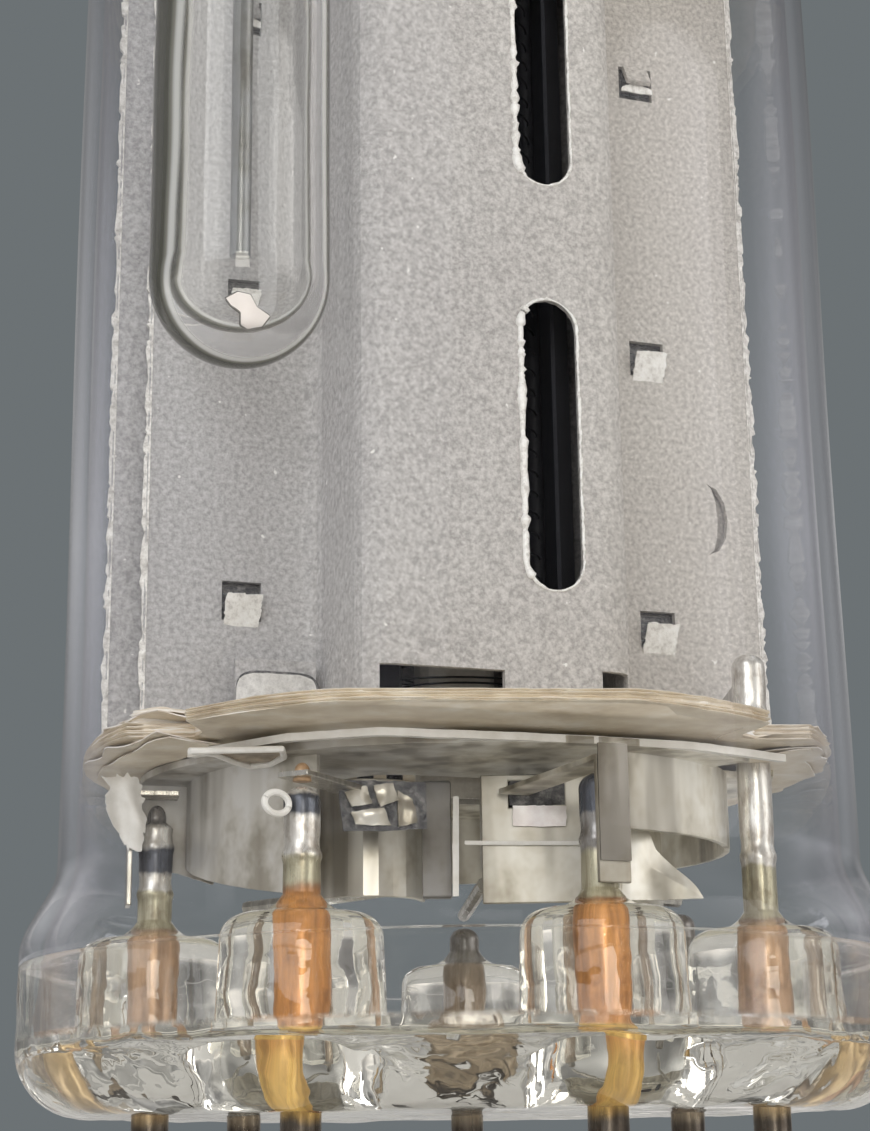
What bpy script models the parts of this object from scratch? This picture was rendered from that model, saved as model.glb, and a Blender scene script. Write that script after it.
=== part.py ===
"""An all-glass power tube: bulb, pressed base with seven leads, folded anode, grids, micas and a glass sleeve.

Metres, +Z up. The tips of the pins stand on z = 0. The anode's wings lie along X and its front faces -Y.
"""

import math

import bmesh
import bpy
from mathutils import Matrix, Vector

MM = 0.001

# Clearances
GAP = 0.3 * MM
MICA_FIT = 0.2 * MM

# Pins and leads
PIN_COUNT = 7
PIN_CIRCLE_R = 12.7 * MM
PIN_LENGTH = 12.0 * MM
PIN_R = 0.75 * MM
LEAD_R = 0.70 * MM
PIN_TIP = 0.6 * MM
PIN_STEP = 0.5 * MM
# The stem's own front, which lies between the second and the third pin
STEM_TURN = math.radians(-20.4)

# Pressed glass base
PLATE_T = 2.45 * MM
BOSS_R = 3.15 * MM
BOSS_H = 4.6 * MM
BOSS_ROUND = 0.9 * MM
BOSS_DRAFT = 0.12 * MM
RIM_CLEAR = 1.3 * MM
RIM_WALL = 0.95 * MM
RIM_H = 3.25 * MM
FOOT_ROUND = 2.8 * MM

# Bulb
BULB_OUT = 4.0 * MM
BULB_WALL = 0.75 * MM
FLARE_H = 3.6 * MM
DOME_CLEAR = 1.2 * MM
DOME_H = 10.2 * MM
TIP_H = 2.3 * MM
TIP_R = 2.0 * MM

# Micas, seen from above: round, with two flats and four notches
MICA_T = 0.5 * MM
MICA_AXIS = math.radians(-14.0)
MICA_FLAT_CUT = 0.9 * MM
NOTCH_AT = math.radians(52.0)
NOTCH_HALF = math.radians(7.0)
NOTCH_DEPTH = 2.2 * MM
MICA_ABOVE_BOSS = 7.15 * MM

# Anode: two folded shells, the rear one wider
SHEET_T = 0.3 * MM
ANODE_EDGE_CLEAR = 0.8 * MM
FRONT_LEFT_STEP = 1.4 * MM
FRONT_RIGHT_STEP = 0.4 * MM
BULGE_BASE = 6.2 * MM
BULGE_FRONT = 5.8 * MM
BULGE_DEPTH = 6.0 * MM
FOLD_BASE = 0.9 * MM
FOLD_FRONT = 1.0 * MM
SLOT_COUNT = 2
SLOT_W = 2.6 * MM
SLOT_L = 13.0 * MM
SLOT_X = 2.4 * MM
SLOT_LOW = 5.9 * MM
SLOT_BRIDGE = 5.4 * MM
# The lanced tongues: how far they stand out from the bulge, up from a slot's ends and down from the top
LANCE_OUT = 3.4 * MM
LANCE_SIDE = 1.7 * MM
LANCE_LIFT = 0.15 * MM
LANCE_FROM_TOP = 9.9 * MM
FLAP_L = 1.3 * MM
FLAP_TILT = math.radians(28.0)
SLIT_IN = 2.3 * MM
SLIT_Z = 11.5 * MM
SLIT_L = 3.4 * MM
SLIT_W = 0.5 * MM
ARCH_X = -2.6 * MM
ARCH_W = 5.3 * MM
ARCH_H = 2.4 * MM
CORNER_X = 5.0 * MM
CORNER_W = 1.3 * MM
CORNER_H = 2.6 * MM
LUG_X = -8.4 * MM
LUG_W = 3.5 * MM
LUG_H = 3.3 * MM
LUG_OUT = 1.1 * MM
TONGUE_X = 8.0 * MM
TONGUE_W = 2.0 * MM
TONGUE_T = 0.24 * MM

# Cathode, heater and grids
CATHODE_HALF_W = 1.8 * MM
CATHODE_HALF_D = 0.8 * MM
CATHODE_WALL = 0.12 * MM
HEATER_R = 0.15 * MM
HEATER_HALF = 1.2 * MM
HEATER_LEGS = 4
SIDE_ROD_R = 0.35 * MM
WEB = 0.2 * MM
GRID_WIRE_R = 0.12 * MM
GRID_TURNS = 9
TURN_POINTS = 10
GRID_MARGIN = 2.2 * MM
CONTROL_HALF_D = 1.5 * MM
SCREEN_HALF_D = 2.3 * MM
BEAM_T = 0.2 * MM
BEAM_HALF_D = 3.6 * MM
BEAM_CORNER_D = 1.6 * MM
BEAM_RETURN = 1.5 * MM
BEAM_TONGUE_W = 1.4 * MM
BEAM_TONGUE_T = 0.16 * MM
ROD_ABOVE = 1.8 * MM

# Nickel parts under the lower mica
SHIELD_T = 0.3 * MM
SHIELD_HALF_W = 13.5 * MM
SHIELD_HALF_D = 10.3 * MM
SHIELD_HOLE_D = 2.4 * MM
SKIRT_CLEAR = 0.6 * MM
SKIRT_HALF_D = 9.3 * MM
SKIRT_T = 0.25 * MM
SKIRT_DROP = 3.0 * MM
# The skirt's two ends on its ellipse, counted from the stem's front, and how much deeper it hangs at the left one
SKIRT_RIGHT = math.radians(32.0)
SKIRT_LEFT = math.radians(27.0)
SKIRT_DEEPER = 2.8 * MM
POST_CLEAR = 1.2 * MM
BRACKET_LEFT = 1.1 * MM
BRACKET_CLEAR = 0.3 * MM
BRACKET_Y = -4.5 * MM
BRACKET_DROP = 5.2 * MM
BRACKET_FOLD = 2.6 * MM
BRACKET_SHELF = 3.4 * MM
WINDOW_W = 2.3 * MM
WINDOW_H = 1.1 * MM
WINDOW_SIDE = 1.1 * MM
WINDOW_TOP = 0.25 * MM
CAN_X = -3.7 * MM
CAN_Y = -2.0 * MM
CAN_R = 2.3 * MM
CAN_DROP = 4.8 * MM
BAR_X = -0.75 * MM
BAR_Y = -3.2 * MM
BAR_W = 1.2 * MM
BAR_T = 0.5 * MM
BAFFLE_IN = 0.3 * MM
BAFFLE_FROM = math.radians(42.0)
BAFFLE_TO = math.radians(70.0)
BAFFLE_DROP = 5.8 * MM
STRAP_T = 0.2 * MM
STRAP_W = 1.3 * MM
STRAP_DOWN = 4.6 * MM
WIRE_R = 0.3 * MM

# How far each lead ends below the lower mica; the fourth rises above it to the anode
REAR_DROP = 5.3 * MM
LEAD_DROPS = {1: 1.6 * MM, 2: 2.4 * MM, 3: 2.1 * MM, 5: REAR_DROP, 6: REAR_DROP, 7: REAR_DROP}
POST_RISE = 3.8 * MM
POST_STRAP_H = 1.2 * MM

# Glass sleeve in the corner between the bulb, the left wing and the bulge
SLEEVE_WALL = 0.8 * MM
SLEEVE_CLEAR = 0.6 * MM
SLEEVE_SIDE_CLEAR = 0.9 * MM
SLEEVE_ABOVE_FOOT = 15.0 * MM
SLEEVE_ROD_R = 0.45 * MM
ROD_ABOVE_BOTTOM = 3.8 * MM
PLUG_H = 2.0 * MM
ROD_HEAD = 1.5 * MM

# Getter
GETTER_R = 4.0 * MM
GETTER_W = 1.0 * MM
GETTER_H = 0.9 * MM
GETTER_WALL = 0.25 * MM
GETTER_RISE = 4.6 * MM
GETTER_WIRE_R = 0.35 * MM
GETTER_POST_Y = 8.5 * MM

# Facets
WELD = 0.002 * MM
SHARP_ANGLE = math.radians(35.0)
ROUND_STEPS = 48
BOSS_STEPS = 20
PIN_STEPS = 12
SLEEVE_STEPS = 24

# Heights that follow from the sizes above
PLATE_BOTTOM = PIN_LENGTH
PLATE_TOP = PLATE_BOTTOM + PLATE_T
BOSS_TOP = PLATE_TOP + BOSS_H
RIM_TOP = PLATE_TOP + RIM_H
BULB_BOTTOM = RIM_TOP + GAP
MICA_BOTTOM = BOSS_TOP + MICA_ABOVE_BOSS
MICA_TOP = MICA_BOTTOM + MICA_T
SHIELD_BOTTOM = MICA_BOTTOM - GAP - SHIELD_T
HANG_TOP = SHIELD_BOTTOM - GAP
SKIRT_BOTTOM = SHIELD_BOTTOM - SKIRT_DROP
SLOT_PITCH = SLOT_L + SLOT_BRIDGE
ANODE_H = 2 * SLOT_LOW + SLOT_COUNT * SLOT_PITCH - SLOT_BRIDGE
LANCE_HEIGHTS = (SLOT_LOW + LANCE_LIFT, SLOT_LOW + SLOT_L + LANCE_LIFT, ANODE_H - LANCE_FROM_TOP)
ANODE_BOTTOM = MICA_TOP + GAP
ANODE_TOP = ANODE_BOTTOM + ANODE_H
UPPER_BOTTOM = ANODE_TOP + GAP
UPPER_TOP = UPPER_BOTTOM + MICA_T
DOME_START = UPPER_TOP + DOME_CLEAR
BULB_TOP = DOME_START + DOME_H + TIP_H
WIRE_Z = MICA_BOTTOM - REAR_DROP + GAP + WIRE_R
INNER_END = WIRE_Z + WIRE_R + GAP

# Widths that follow from the sizes above
BULB_R = PIN_CIRCLE_R + BULB_OUT
BULB_INNER_R = BULB_R - BULB_WALL
RIM_INNER_R = PIN_CIRCLE_R + BOSS_R + RIM_CLEAR
RIM_R = RIM_INNER_R + RIM_WALL
MICA_R = BULB_INNER_R - GAP
MICA_FLAT = MICA_R - MICA_FLAT_CUT
SKIRT_HALF_W = PIN_CIRCLE_R - LEAD_R - SKIRT_CLEAR
BAFFLE_R = SKIRT_HALF_D - SKIRT_T / 2 - BAFFLE_IN
BRACKET_RIGHT = math.sqrt(BAFFLE_R ** 2 - BRACKET_Y ** 2) - BRACKET_CLEAR
ANODE_HALF_W = BULB_INNER_R - ANODE_EDGE_CLEAR
SHEET_Y = (GAP + SHEET_T) / 2
WING_FACE = SHEET_Y + SHEET_T / 2
LANCE_X = BULGE_BASE + LANCE_OUT
SLIT_X = ANODE_HALF_W - SLIT_IN

# The sleeve's radius is the one that keeps its clearances to the bulge, the wing and the bulb
SIDE_ROOM = BULGE_BASE + SLEEVE_SIDE_CLEAR
WING_ROOM = WING_FACE + SLEEVE_CLEAR
BULB_ROOM = BULB_INNER_R - GAP
ROOM_SUM = SIDE_ROOM + WING_ROOM + BULB_ROOM
SLEEVE_R = math.sqrt(ROOM_SUM ** 2 + BULB_ROOM ** 2 - SIDE_ROOM ** 2 - WING_ROOM ** 2) - ROOM_SUM
SLEEVE_X = -(SIDE_ROOM + SLEEVE_R)
SLEEVE_Y = -(WING_ROOM + SLEEVE_R)

# Where the rods and plates of the grids stand
CONTROL_X = CATHODE_HALF_W + MICA_FIT + WEB + MICA_FIT + SIDE_ROD_R
SCREEN_X = CONTROL_X + 2 * SIDE_ROD_R + 2 * MICA_FIT + WEB
BEAM_X = SCREEN_X + SIDE_ROD_R + 2 * MICA_FIT + WEB + BEAM_T / 2
SHIELD_HOLE_W = BEAM_X + BEAM_T


def clear_scene():
    for thing in list(bpy.data.objects):
        bpy.data.objects.remove(thing)


def new_collection(name):
    made = bpy.data.collections.new(name)
    bpy.context.scene.collection.children.link(made)
    return made


def material(name, colour, roughness, metallic=0.0, transmission=0.0):
    made = bpy.data.materials.new(name)
    made.use_nodes = True
    shader = made.node_tree.nodes["Principled BSDF"]
    shader.inputs["Base Color"].default_value = (*colour, 1.0)
    shader.inputs["Roughness"].default_value = roughness
    shader.inputs["Metallic"].default_value = metallic
    shader.inputs["Transmission Weight"].default_value = transmission
    return made


def place(name, mesh, paint):
    """A piece of the tube when it has a material, and otherwise a tool that cuts or joins."""
    piece = bpy.data.objects.new(name, mesh)
    if paint is None:
        TOOLS.objects.link(piece)
        piece.hide_render = True
        piece.display_type = "WIRE"
    else:
        TUBE.objects.link(piece)
        mesh.materials.clear()
        mesh.materials.append(paint)
    return piece


def smoothed(mesh):
    mesh.shade_smooth()
    mesh.set_sharp_from_angle(angle=SHARP_ANGLE)


def mesh_from(name, bm, paint, smooth=False):
    mesh = bpy.data.meshes.new(name)
    bm.to_mesh(mesh)
    bm.free()
    if smooth:
        smoothed(mesh)
    return place(name, mesh, paint)


def as_mesh(guide, paint):
    """The guide's finished shape as a mesh object with its seams welded."""
    bpy.context.view_layer.update()
    graph = bpy.context.evaluated_depsgraph_get()
    mesh = bpy.data.meshes.new_from_object(guide.evaluated_get(graph))
    name = guide.name
    matrix = guide.matrix_world.copy()
    bpy.data.objects.remove(guide)
    bm = bmesh.new()
    bm.from_mesh(mesh)
    bmesh.ops.remove_doubles(bm, verts=bm.verts, dist=WELD)
    bmesh.ops.recalc_face_normals(bm, faces=bm.faces)
    bm.to_mesh(mesh)
    bm.free()
    smoothed(mesh)
    piece = place(name, mesh, paint)
    piece.matrix_world = matrix
    return piece


def turned(name, profile, paint, steps):
    """A profile of (radius, height) turned about Z, outer side from top to bottom."""
    count = len(profile)
    edges = [(i, (i + 1) % count) for i in range(count)]
    off_axis = [(a, b) for a, b in edges if profile[a][0] > 0.0 or profile[b][0] > 0.0]
    mesh = bpy.data.meshes.new(name)
    mesh.from_pydata([(r, 0.0, z) for r, z in profile], off_axis, [])
    guide = place(name, mesh, paint)
    screw = guide.modifiers.new("Turn", "SCREW")
    screw.steps = steps
    screw.render_steps = steps
    screw.use_merge_vertices = True
    screw.merge_threshold = 5 * WELD
    return as_mesh(guide, paint)


def flat_plate(name, outlines, bottom, thickness, paint):
    """A flat plate: the first outline is its edge, and the others are its holes."""
    curve = bpy.data.curves.new(name, "CURVE")
    curve.dimensions = "2D"
    curve.fill_mode = "BOTH"
    curve.extrude = thickness / 2
    for outline in outlines:
        spline = curve.splines.new("POLY")
        spline.points.add(len(outline) - 1)
        for point, (x, y) in zip(spline.points, outline):
            point.co = (x, y, 0.0, 1.0)
        spline.use_cyclic_u = True
    guide = bpy.data.objects.new(name, curve)
    TUBE.objects.link(guide)
    guide.location.z = bottom + thickness / 2
    return as_mesh(guide, paint)


def wire(name, points, radius, paint, resolution=2):
    """A round wire through the points, as a curve with closed ends."""
    curve = bpy.data.curves.new(name, "CURVE")
    curve.dimensions = "3D"
    curve.bevel_depth = radius
    curve.bevel_resolution = resolution
    curve.use_fill_caps = True
    spline = curve.splines.new("POLY")
    spline.points.add(len(points) - 1)
    for point, place_at in zip(spline.points, points):
        point.co = (*place_at, 1.0)
    curve.materials.append(paint)
    piece = bpy.data.objects.new(name, curve)
    TUBE.objects.link(piece)
    return piece


def swept_sheet(name, path, sweep, thickness, paint, closed=False, level=None):
    """A folded strip: the path carried along the sweep, or up to a level, with a wall on both sides of it."""
    bm = bmesh.new()
    verts = [bm.verts.new(point) for point in path]
    edges = [bm.edges.new(pair) for pair in zip(verts, verts[1:])]
    if closed:
        edges.append(bm.edges.new((verts[-1], verts[0])))
    made = bmesh.ops.extrude_edge_only(bm, edges=edges)
    moved = [item for item in made["geom"] if isinstance(item, bmesh.types.BMVert)]
    bmesh.ops.translate(bm, verts=moved, vec=Vector(sweep))
    if level is not None:
        for vert in moved:
            vert.co.z = level
    piece = mesh_from(name, bm, paint)
    wall = piece.modifiers.new("Wall", "SOLIDIFY")
    wall.thickness = thickness
    wall.offset = 0.0
    wall.use_even_offset = True
    return piece


def boxes(name, list_of_boxes, paint=None):
    """Boxes in one mesh, each given by its centre, its size and its turn about X."""
    bm = bmesh.new()
    for centre, size, turn in list_of_boxes:
        move = Matrix.Translation(centre) @ Matrix.Rotation(turn, 4, "X")
        bmesh.ops.create_cube(bm, size=1.0, matrix=move @ Matrix.Diagonal((*size, 1.0)))
    return mesh_from(name, bm, paint)


def rods(name, ends, radius, steps, paint=None, top_radius=None):
    """Upright rods in one mesh, each from (x, y, bottom) to the height top."""
    bm = bmesh.new()
    for x, y, bottom, top in ends:
        bmesh.ops.create_cone(
            bm,
            cap_ends=True,
            segments=steps,
            radius1=radius,
            radius2=radius if top_radius is None else top_radius,
            depth=top - bottom,
            matrix=Matrix.Translation((x, y, (bottom + top) / 2)),
        )
    return mesh_from(name, bm, paint, smooth=True)


def combine(piece, tool, operation):
    step = piece.modifiers.new(operation.title(), "BOOLEAN")
    step.operation = operation
    step.object = tool


def at_azimuth(azimuth, radius):
    """The point at that angle from the front, counted towards +X."""
    return radius * math.sin(azimuth), -radius * math.cos(azimuth)


def stem_point(x, y):
    """A point given square to the stem, in the tube's own axes."""
    c, s = math.cos(STEM_TURN), math.sin(STEM_TURN)
    return x * c - y * s, x * s + y * c


def pin_azimuth(number):
    """Seven places at equal pitch; the gap between the second and the third is the stem's front."""
    return STEM_TURN + (number - 2.5) * 2 * math.pi / PIN_COUNT


def pin_point(number):
    return at_azimuth(pin_azimuth(number), PIN_CIRCLE_R)


def arc(cx, cy, rx, ry, start, end, steps):
    """Points of an ellipse about (cx, cy), from one angle to the other."""
    return [
        (cx + rx * math.cos(a), cy + ry * math.sin(a))
        for a in (start + (end - start) * i / steps for i in range(steps + 1))
    ]


def circle(cx, cy, radius, steps=12):
    return arc(cx, cy, radius, radius, 0.0, 2 * math.pi * (steps - 1) / steps, steps - 1)


def rectangle(cx, cy, half_w, half_d):
    return [
        (cx - half_w, cy - half_d),
        (cx + half_w, cy - half_d),
        (cx + half_w, cy + half_d),
        (cx - half_w, cy + half_d),
    ]


def obround(cx, cy, half_w, half_d, steps=6):
    """A flat-sided ring with round ends along its longer way."""
    if half_w >= half_d:
        straight = half_w - half_d
        right = arc(cx + straight, cy, half_d, half_d, -math.pi / 2, math.pi / 2, steps)
        left = arc(cx - straight, cy, half_d, half_d, math.pi / 2, 3 * math.pi / 2, steps)
        return right + left
    straight = half_d - half_w
    top = arc(cx, cy + straight, half_w, half_w, 0.0, math.pi, steps)
    bottom = arc(cx, cy - straight, half_w, half_w, math.pi, 2 * math.pi, steps)
    return top + bottom


def folded_path(corners, radii, steps=3):
    """The corner points with each inner corner rounded by its own radius."""
    path = [Vector(corners[0])]
    for before, corner, after, radius in zip(corners, corners[1:], corners[2:], radii):
        here = Vector(corner)
        to_before = (Vector(before) - here).normalized()
        to_after = (Vector(after) - here).normalized()
        half = to_before.angle(to_after) / 2
        centre = here + (to_before + to_after).normalized() * radius / math.sin(half)
        start = here + to_before * radius / math.tan(half) - centre
        end = here + to_after * radius / math.tan(half) - centre
        turn = -start.angle_signed(end)
        for i in range(steps + 1):
            path.append(centre + Matrix.Rotation(turn * i / steps, 2) @ start)
    path.append(Vector(corners[-1]))
    return [(point.x, point.y) for point in path]


def upright(path, height):
    """The flat path lifted to that height."""
    return [(x, y, height) for x, y in path]


def make_stem_plate():
    foot = arc(
        RIM_R - FOOT_ROUND, PLATE_BOTTOM + FOOT_ROUND, FOOT_ROUND, FOOT_ROUND, 0.0, -math.pi / 2, 5
    )
    profile = [(0.0, PLATE_TOP), (RIM_INNER_R, PLATE_TOP), (RIM_INNER_R, RIM_TOP), (RIM_R, RIM_TOP)]
    profile += foot + [(0.0, PLATE_BOTTOM)]
    plate = turned("stem_plate", profile, GLASS, ROUND_STEPS)
    places = [pin_point(number) for number in range(1, PIN_COUNT + 1)]
    sunk = PLATE_T / 2
    bosses = rods(
        "boss_tool",
        [(x, y, PLATE_TOP - sunk, BOSS_TOP) for x, y in places],
        BOSS_R,
        BOSS_STEPS,
        top_radius=BOSS_R - BOSS_DRAFT,
    )
    edge = bosses.modifiers.new("Edge", "BEVEL")
    edge.width = BOSS_ROUND
    edge.segments = 2
    edge.limit_method = "ANGLE"
    edge.angle_limit = math.radians(60)
    combine(plate, bosses, "UNION")
    holes = rods(
        "pin_hole_tool",
        [(x, y, PLATE_BOTTOM - PLATE_T, BOSS_TOP + PLATE_T) for x, y in places],
        PIN_R + GAP,
        PIN_STEPS,
    )
    combine(plate, holes, "DIFFERENCE")


def make_bulb():
    """The blown bulb: dome with its sealed tip, straight wall, and the flare that meets the base's rim."""
    crown = DOME_START + DOME_H
    rise = math.asin(TIP_R / BULB_R)
    profile = [
        (0.0, BULB_TOP),
        (0.35 * TIP_R, BULB_TOP - 0.1 * TIP_H),
        (0.7 * TIP_R, BULB_TOP - 0.5 * TIP_H),
        (TIP_R, crown - 0.1 * MM),
    ]
    profile += arc(0.0, DOME_START, BULB_R, DOME_H, math.pi / 2 - 1.6 * rise, 0.0, 8)
    flare_top = BULB_BOTTOM + FLARE_H
    profile += [
        (BULB_R, flare_top),
        (BULB_R + 0.35 * (RIM_R - BULB_R), BULB_BOTTOM + 0.55 * FLARE_H),
        (RIM_R, BULB_BOTTOM + 0.12 * FLARE_H),
        (RIM_R, BULB_BOTTOM),
        (RIM_INNER_R, BULB_BOTTOM),
        (RIM_INNER_R, BULB_BOTTOM + 0.12 * FLARE_H),
        (BULB_INNER_R + 0.35 * (RIM_INNER_R - BULB_INNER_R), BULB_BOTTOM + 0.6 * FLARE_H),
        (BULB_INNER_R, flare_top + 0.1 * FLARE_H),
    ]
    inner = arc(0.0, DOME_START, BULB_INNER_R, DOME_H - BULB_WALL, 0.0, math.pi / 2, 8)
    profile += inner[:-1] + [(0.0, crown - BULB_WALL)]
    turned("bulb", profile, GLASS, ROUND_STEPS)


def lead_top(number):
    if number == 4:
        return MICA_TOP + POST_RISE
    return MICA_BOTTOM - LEAD_DROPS[number]


def make_pin(number):
    """One lead: the plug-in pin below, the seal through the glass, and the inner lead above."""
    top = lead_top(number)
    step = PLATE_BOTTOM + PIN_STEP
    profile = [
        (0.0, top),
        (0.65 * LEAD_R, top),
        (LEAD_R, top - 0.4 * LEAD_R),
        (LEAD_R, step + PIN_STEP),
        (PIN_R, step),
        (PIN_R, PIN_TIP),
        (0.55 * PIN_R, 0.0),
        (0.0, 0.0),
    ]
    pin = turned(f"pin_{number}", profile, NICKEL, PIN_STEPS)
    x, y = pin_point(number)
    pin.location = (x, y, 0.0)


def mica_outline(steps=80):
    """Round, cut by two flats square to the mica's axis, with a notch on each side of them."""
    outline = []
    for i in range(steps):
        azimuth = 2 * math.pi * i / steps
        from_axis = azimuth - MICA_AXIS
        radius = MICA_R
        along = abs(math.cos(from_axis))
        if along * MICA_R > MICA_FLAT:
            radius = MICA_FLAT / along
        for notch in (NOTCH_AT, -NOTCH_AT, math.pi - NOTCH_AT, math.pi + NOTCH_AT):
            away = math.remainder(from_axis - notch, 2 * math.pi)
            if abs(away) < NOTCH_HALF:
                radius -= NOTCH_DEPTH * math.cos(away / NOTCH_HALF * math.pi / 2)
        outline.append(at_azimuth(azimuth, radius))
    return outline


def electrode_holes():
    """The holes that both micas share."""
    holes = [obround(0.0, 0.0, CATHODE_HALF_W + MICA_FIT, CATHODE_HALF_D + MICA_FIT)]
    for side in (-1, 1):
        holes.append(circle(side * CONTROL_X, 0.0, SIDE_ROD_R + MICA_FIT))
        holes.append(circle(side * SCREEN_X, 0.0, SIDE_ROD_R + MICA_FIT))
        holes.append(
            rectangle(side * BEAM_X, 0.0, BEAM_TONGUE_T / 2 + MICA_FIT, BEAM_TONGUE_W / 2 + MICA_FIT)
        )
        holes.append(
            rectangle(
                side * TONGUE_X, SHEET_Y, TONGUE_W / 2 + MICA_FIT, TONGUE_T / 2 + MICA_FIT
            )
        )
    return holes


def make_micas():
    post = circle(*pin_point(4), LEAD_R + MICA_FIT)
    flat_plate("lower_mica", [mica_outline(), *electrode_holes(), post], MICA_BOTTOM, MICA_T, MICA)
    sleeve_rod = circle(SLEEVE_X, SLEEVE_Y, SLEEVE_ROD_R + MICA_FIT)
    getter_post = circle(0.0, GETTER_POST_Y, GETTER_WIRE_R + MICA_FIT)
    upper = [mica_outline(), *electrode_holes(), sleeve_rod, getter_post]
    flat_plate("upper_mica", upper, UPPER_BOTTOM, MICA_T, MICA)


def shell_path(left, right):
    """The anode shell's section: flat wings, and a bulge with soft folds that comes towards -Y."""
    corners = [
        (-left, -SHEET_Y),
        (-BULGE_BASE, -SHEET_Y),
        (-BULGE_FRONT, -BULGE_DEPTH),
        (BULGE_FRONT, -BULGE_DEPTH),
        (BULGE_BASE, -SHEET_Y),
        (right, -SHEET_Y),
    ]
    return folded_path(corners, (FOLD_BASE, FOLD_FRONT, FOLD_FRONT, FOLD_BASE))


def slot_tool(name, x, bottom):
    """A round-ended slot's cutter, standing across the anode's front or back face."""
    outline = obround(x, bottom + SLOT_L / 2, SLOT_W / 2, SLOT_L / 2, 8)
    tool = flat_plate(name, [outline], -SLOT_W / 2, SLOT_W, None)
    tool.matrix_world = Matrix.Translation((0.0, -BULGE_DEPTH, 0.0)) @ Matrix.Rotation(
        math.pi / 2, 4, "X"
    )
    return tool


def lance_places():
    return [
        (side * LANCE_X, ANODE_BOTTOM + height) for side in (-1, 1) for height in LANCE_HEIGHTS
    ]


def lance_cut(x, z):
    return (x, 0.0, z), (LANCE_SIDE, 8 * SHEET_T, LANCE_SIDE), 0.0


def flap(x, z, upward):
    """A lanced tongue, hinged at its window's lower edge, or at the upper edge for the top pair."""
    out = FLAP_L / 2 * math.sin(FLAP_TILT)
    up = FLAP_L / 2 * math.cos(FLAP_TILT)
    root = z - upward * (LANCE_SIDE / 2 + SHEET_T / 2)
    centre = (x, -SHEET_Y - out, root + upward * up)
    return centre, (LANCE_SIDE - 2 * TONGUE_T, SHEET_T * 0.8, FLAP_L), upward * FLAP_TILT


def slit_cut():
    """A narrow crescent slit in the right wing."""
    half = SLIT_L / 2
    outer = arc(SLIT_X - SLIT_W, ANODE_BOTTOM + SLIT_Z, 2 * SLIT_W, half, -math.pi / 2, math.pi / 2, 6)
    inner = arc(SLIT_X - SLIT_W, ANODE_BOTTOM + SLIT_Z, SLIT_W, half, math.pi / 2, -math.pi / 2, 6)
    tool = flat_plate("slit_tool", [outer + inner[1:-1]], -4 * SHEET_T, 8 * SHEET_T, None)
    tool.matrix_world = Matrix.Rotation(math.pi / 2, 4, "X")
    return tool


def make_anode_front():
    path = upright(
        shell_path(ANODE_HALF_W - FRONT_LEFT_STEP, ANODE_HALF_W - FRONT_RIGHT_STEP), ANODE_BOTTOM
    )
    front = swept_sheet("anode_front", path, (0.0, 0.0, ANODE_H), SHEET_T, ANODE_GREY)
    cuts = [lance_cut(x, z) for x, z in lance_places()]
    arch = (
        (ARCH_X, -BULGE_DEPTH, ANODE_BOTTOM),
        (ARCH_W, 4 * SHEET_T, 2 * ARCH_H),
        0.0,
    )
    corner = (
        (CORNER_X, -BULGE_DEPTH, ANODE_BOTTOM),
        (CORNER_W, 2 * FOLD_FRONT + 2 * SHEET_T, 2 * CORNER_H),
        0.0,
    )
    combine(front, boxes("front_cut_tool", [*cuts, arch, corner]), "DIFFERENCE")
    for number in range(SLOT_COUNT):
        bottom = ANODE_BOTTOM + SLOT_LOW + number * SLOT_PITCH
        combine(front, slot_tool(f"slot_tool_{number}", SLOT_X, bottom), "DIFFERENCE")
    combine(front, slit_cut(), "DIFFERENCE")
    flaps = [
        flap(x, z, -1 if z > ANODE_BOTTOM + ANODE_H * 0.7 else 1) for x, z in lance_places()
    ]
    combine(front, boxes("flap_tool", flaps), "UNION")
    foot_y = -(WING_FACE + LUG_OUT) / 2 - SHEET_T / 4
    lug_foot = (
        (LUG_X, foot_y, ANODE_BOTTOM + SHEET_T / 2),
        (LUG_W, WING_FACE + LUG_OUT - SHEET_T, SHEET_T * 0.9),
        0.0,
    )
    combine(front, boxes("lug_foot_tool", [lug_foot]), "UNION")
    lug_face = (
        (LUG_X, -WING_FACE - LUG_OUT, ANODE_BOTTOM + LUG_H / 2),
        (LUG_W * 0.98, SHEET_T, LUG_H),
        0.0,
    )
    combine(front, boxes("lug_face_tool", [lug_face]), "UNION")


def make_anode_back():
    path = [(-x, -y, z) for x, y, z in upright(shell_path(ANODE_HALF_W, ANODE_HALF_W), ANODE_BOTTOM)]
    back = swept_sheet("anode_back", path, (0.0, 0.0, ANODE_H), SHEET_T, ANODE_GREY)
    combine(back, boxes("back_cut_tool", [lance_cut(x, z) for x, z in lance_places()]), "DIFFERENCE")
    half_turn = Matrix.Rotation(math.pi, 4, "Z")
    for number in range(SLOT_COUNT):
        bottom = ANODE_BOTTOM + SLOT_LOW + number * SLOT_PITCH
        tool = slot_tool(f"back_slot_tool_{number}", SLOT_X, bottom)
        tool.matrix_world = half_turn @ tool.matrix_world
        combine(back, tool, "DIFFERENCE")
    reach = GAP + MICA_T
    root = 2 * SHEET_T
    tongues = []
    for side in (-1, 1):
        low = (side * TONGUE_X, SHEET_Y, ANODE_BOTTOM + (root - reach) / 2)
        high = (side * TONGUE_X, SHEET_Y, ANODE_TOP + (reach - root) / 2)
        tongues += [(spot, (TONGUE_W, TONGUE_T, root + reach), 0.0) for spot in (low, high)]
    combine(back, boxes("tongue_tool", tongues), "UNION")


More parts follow.
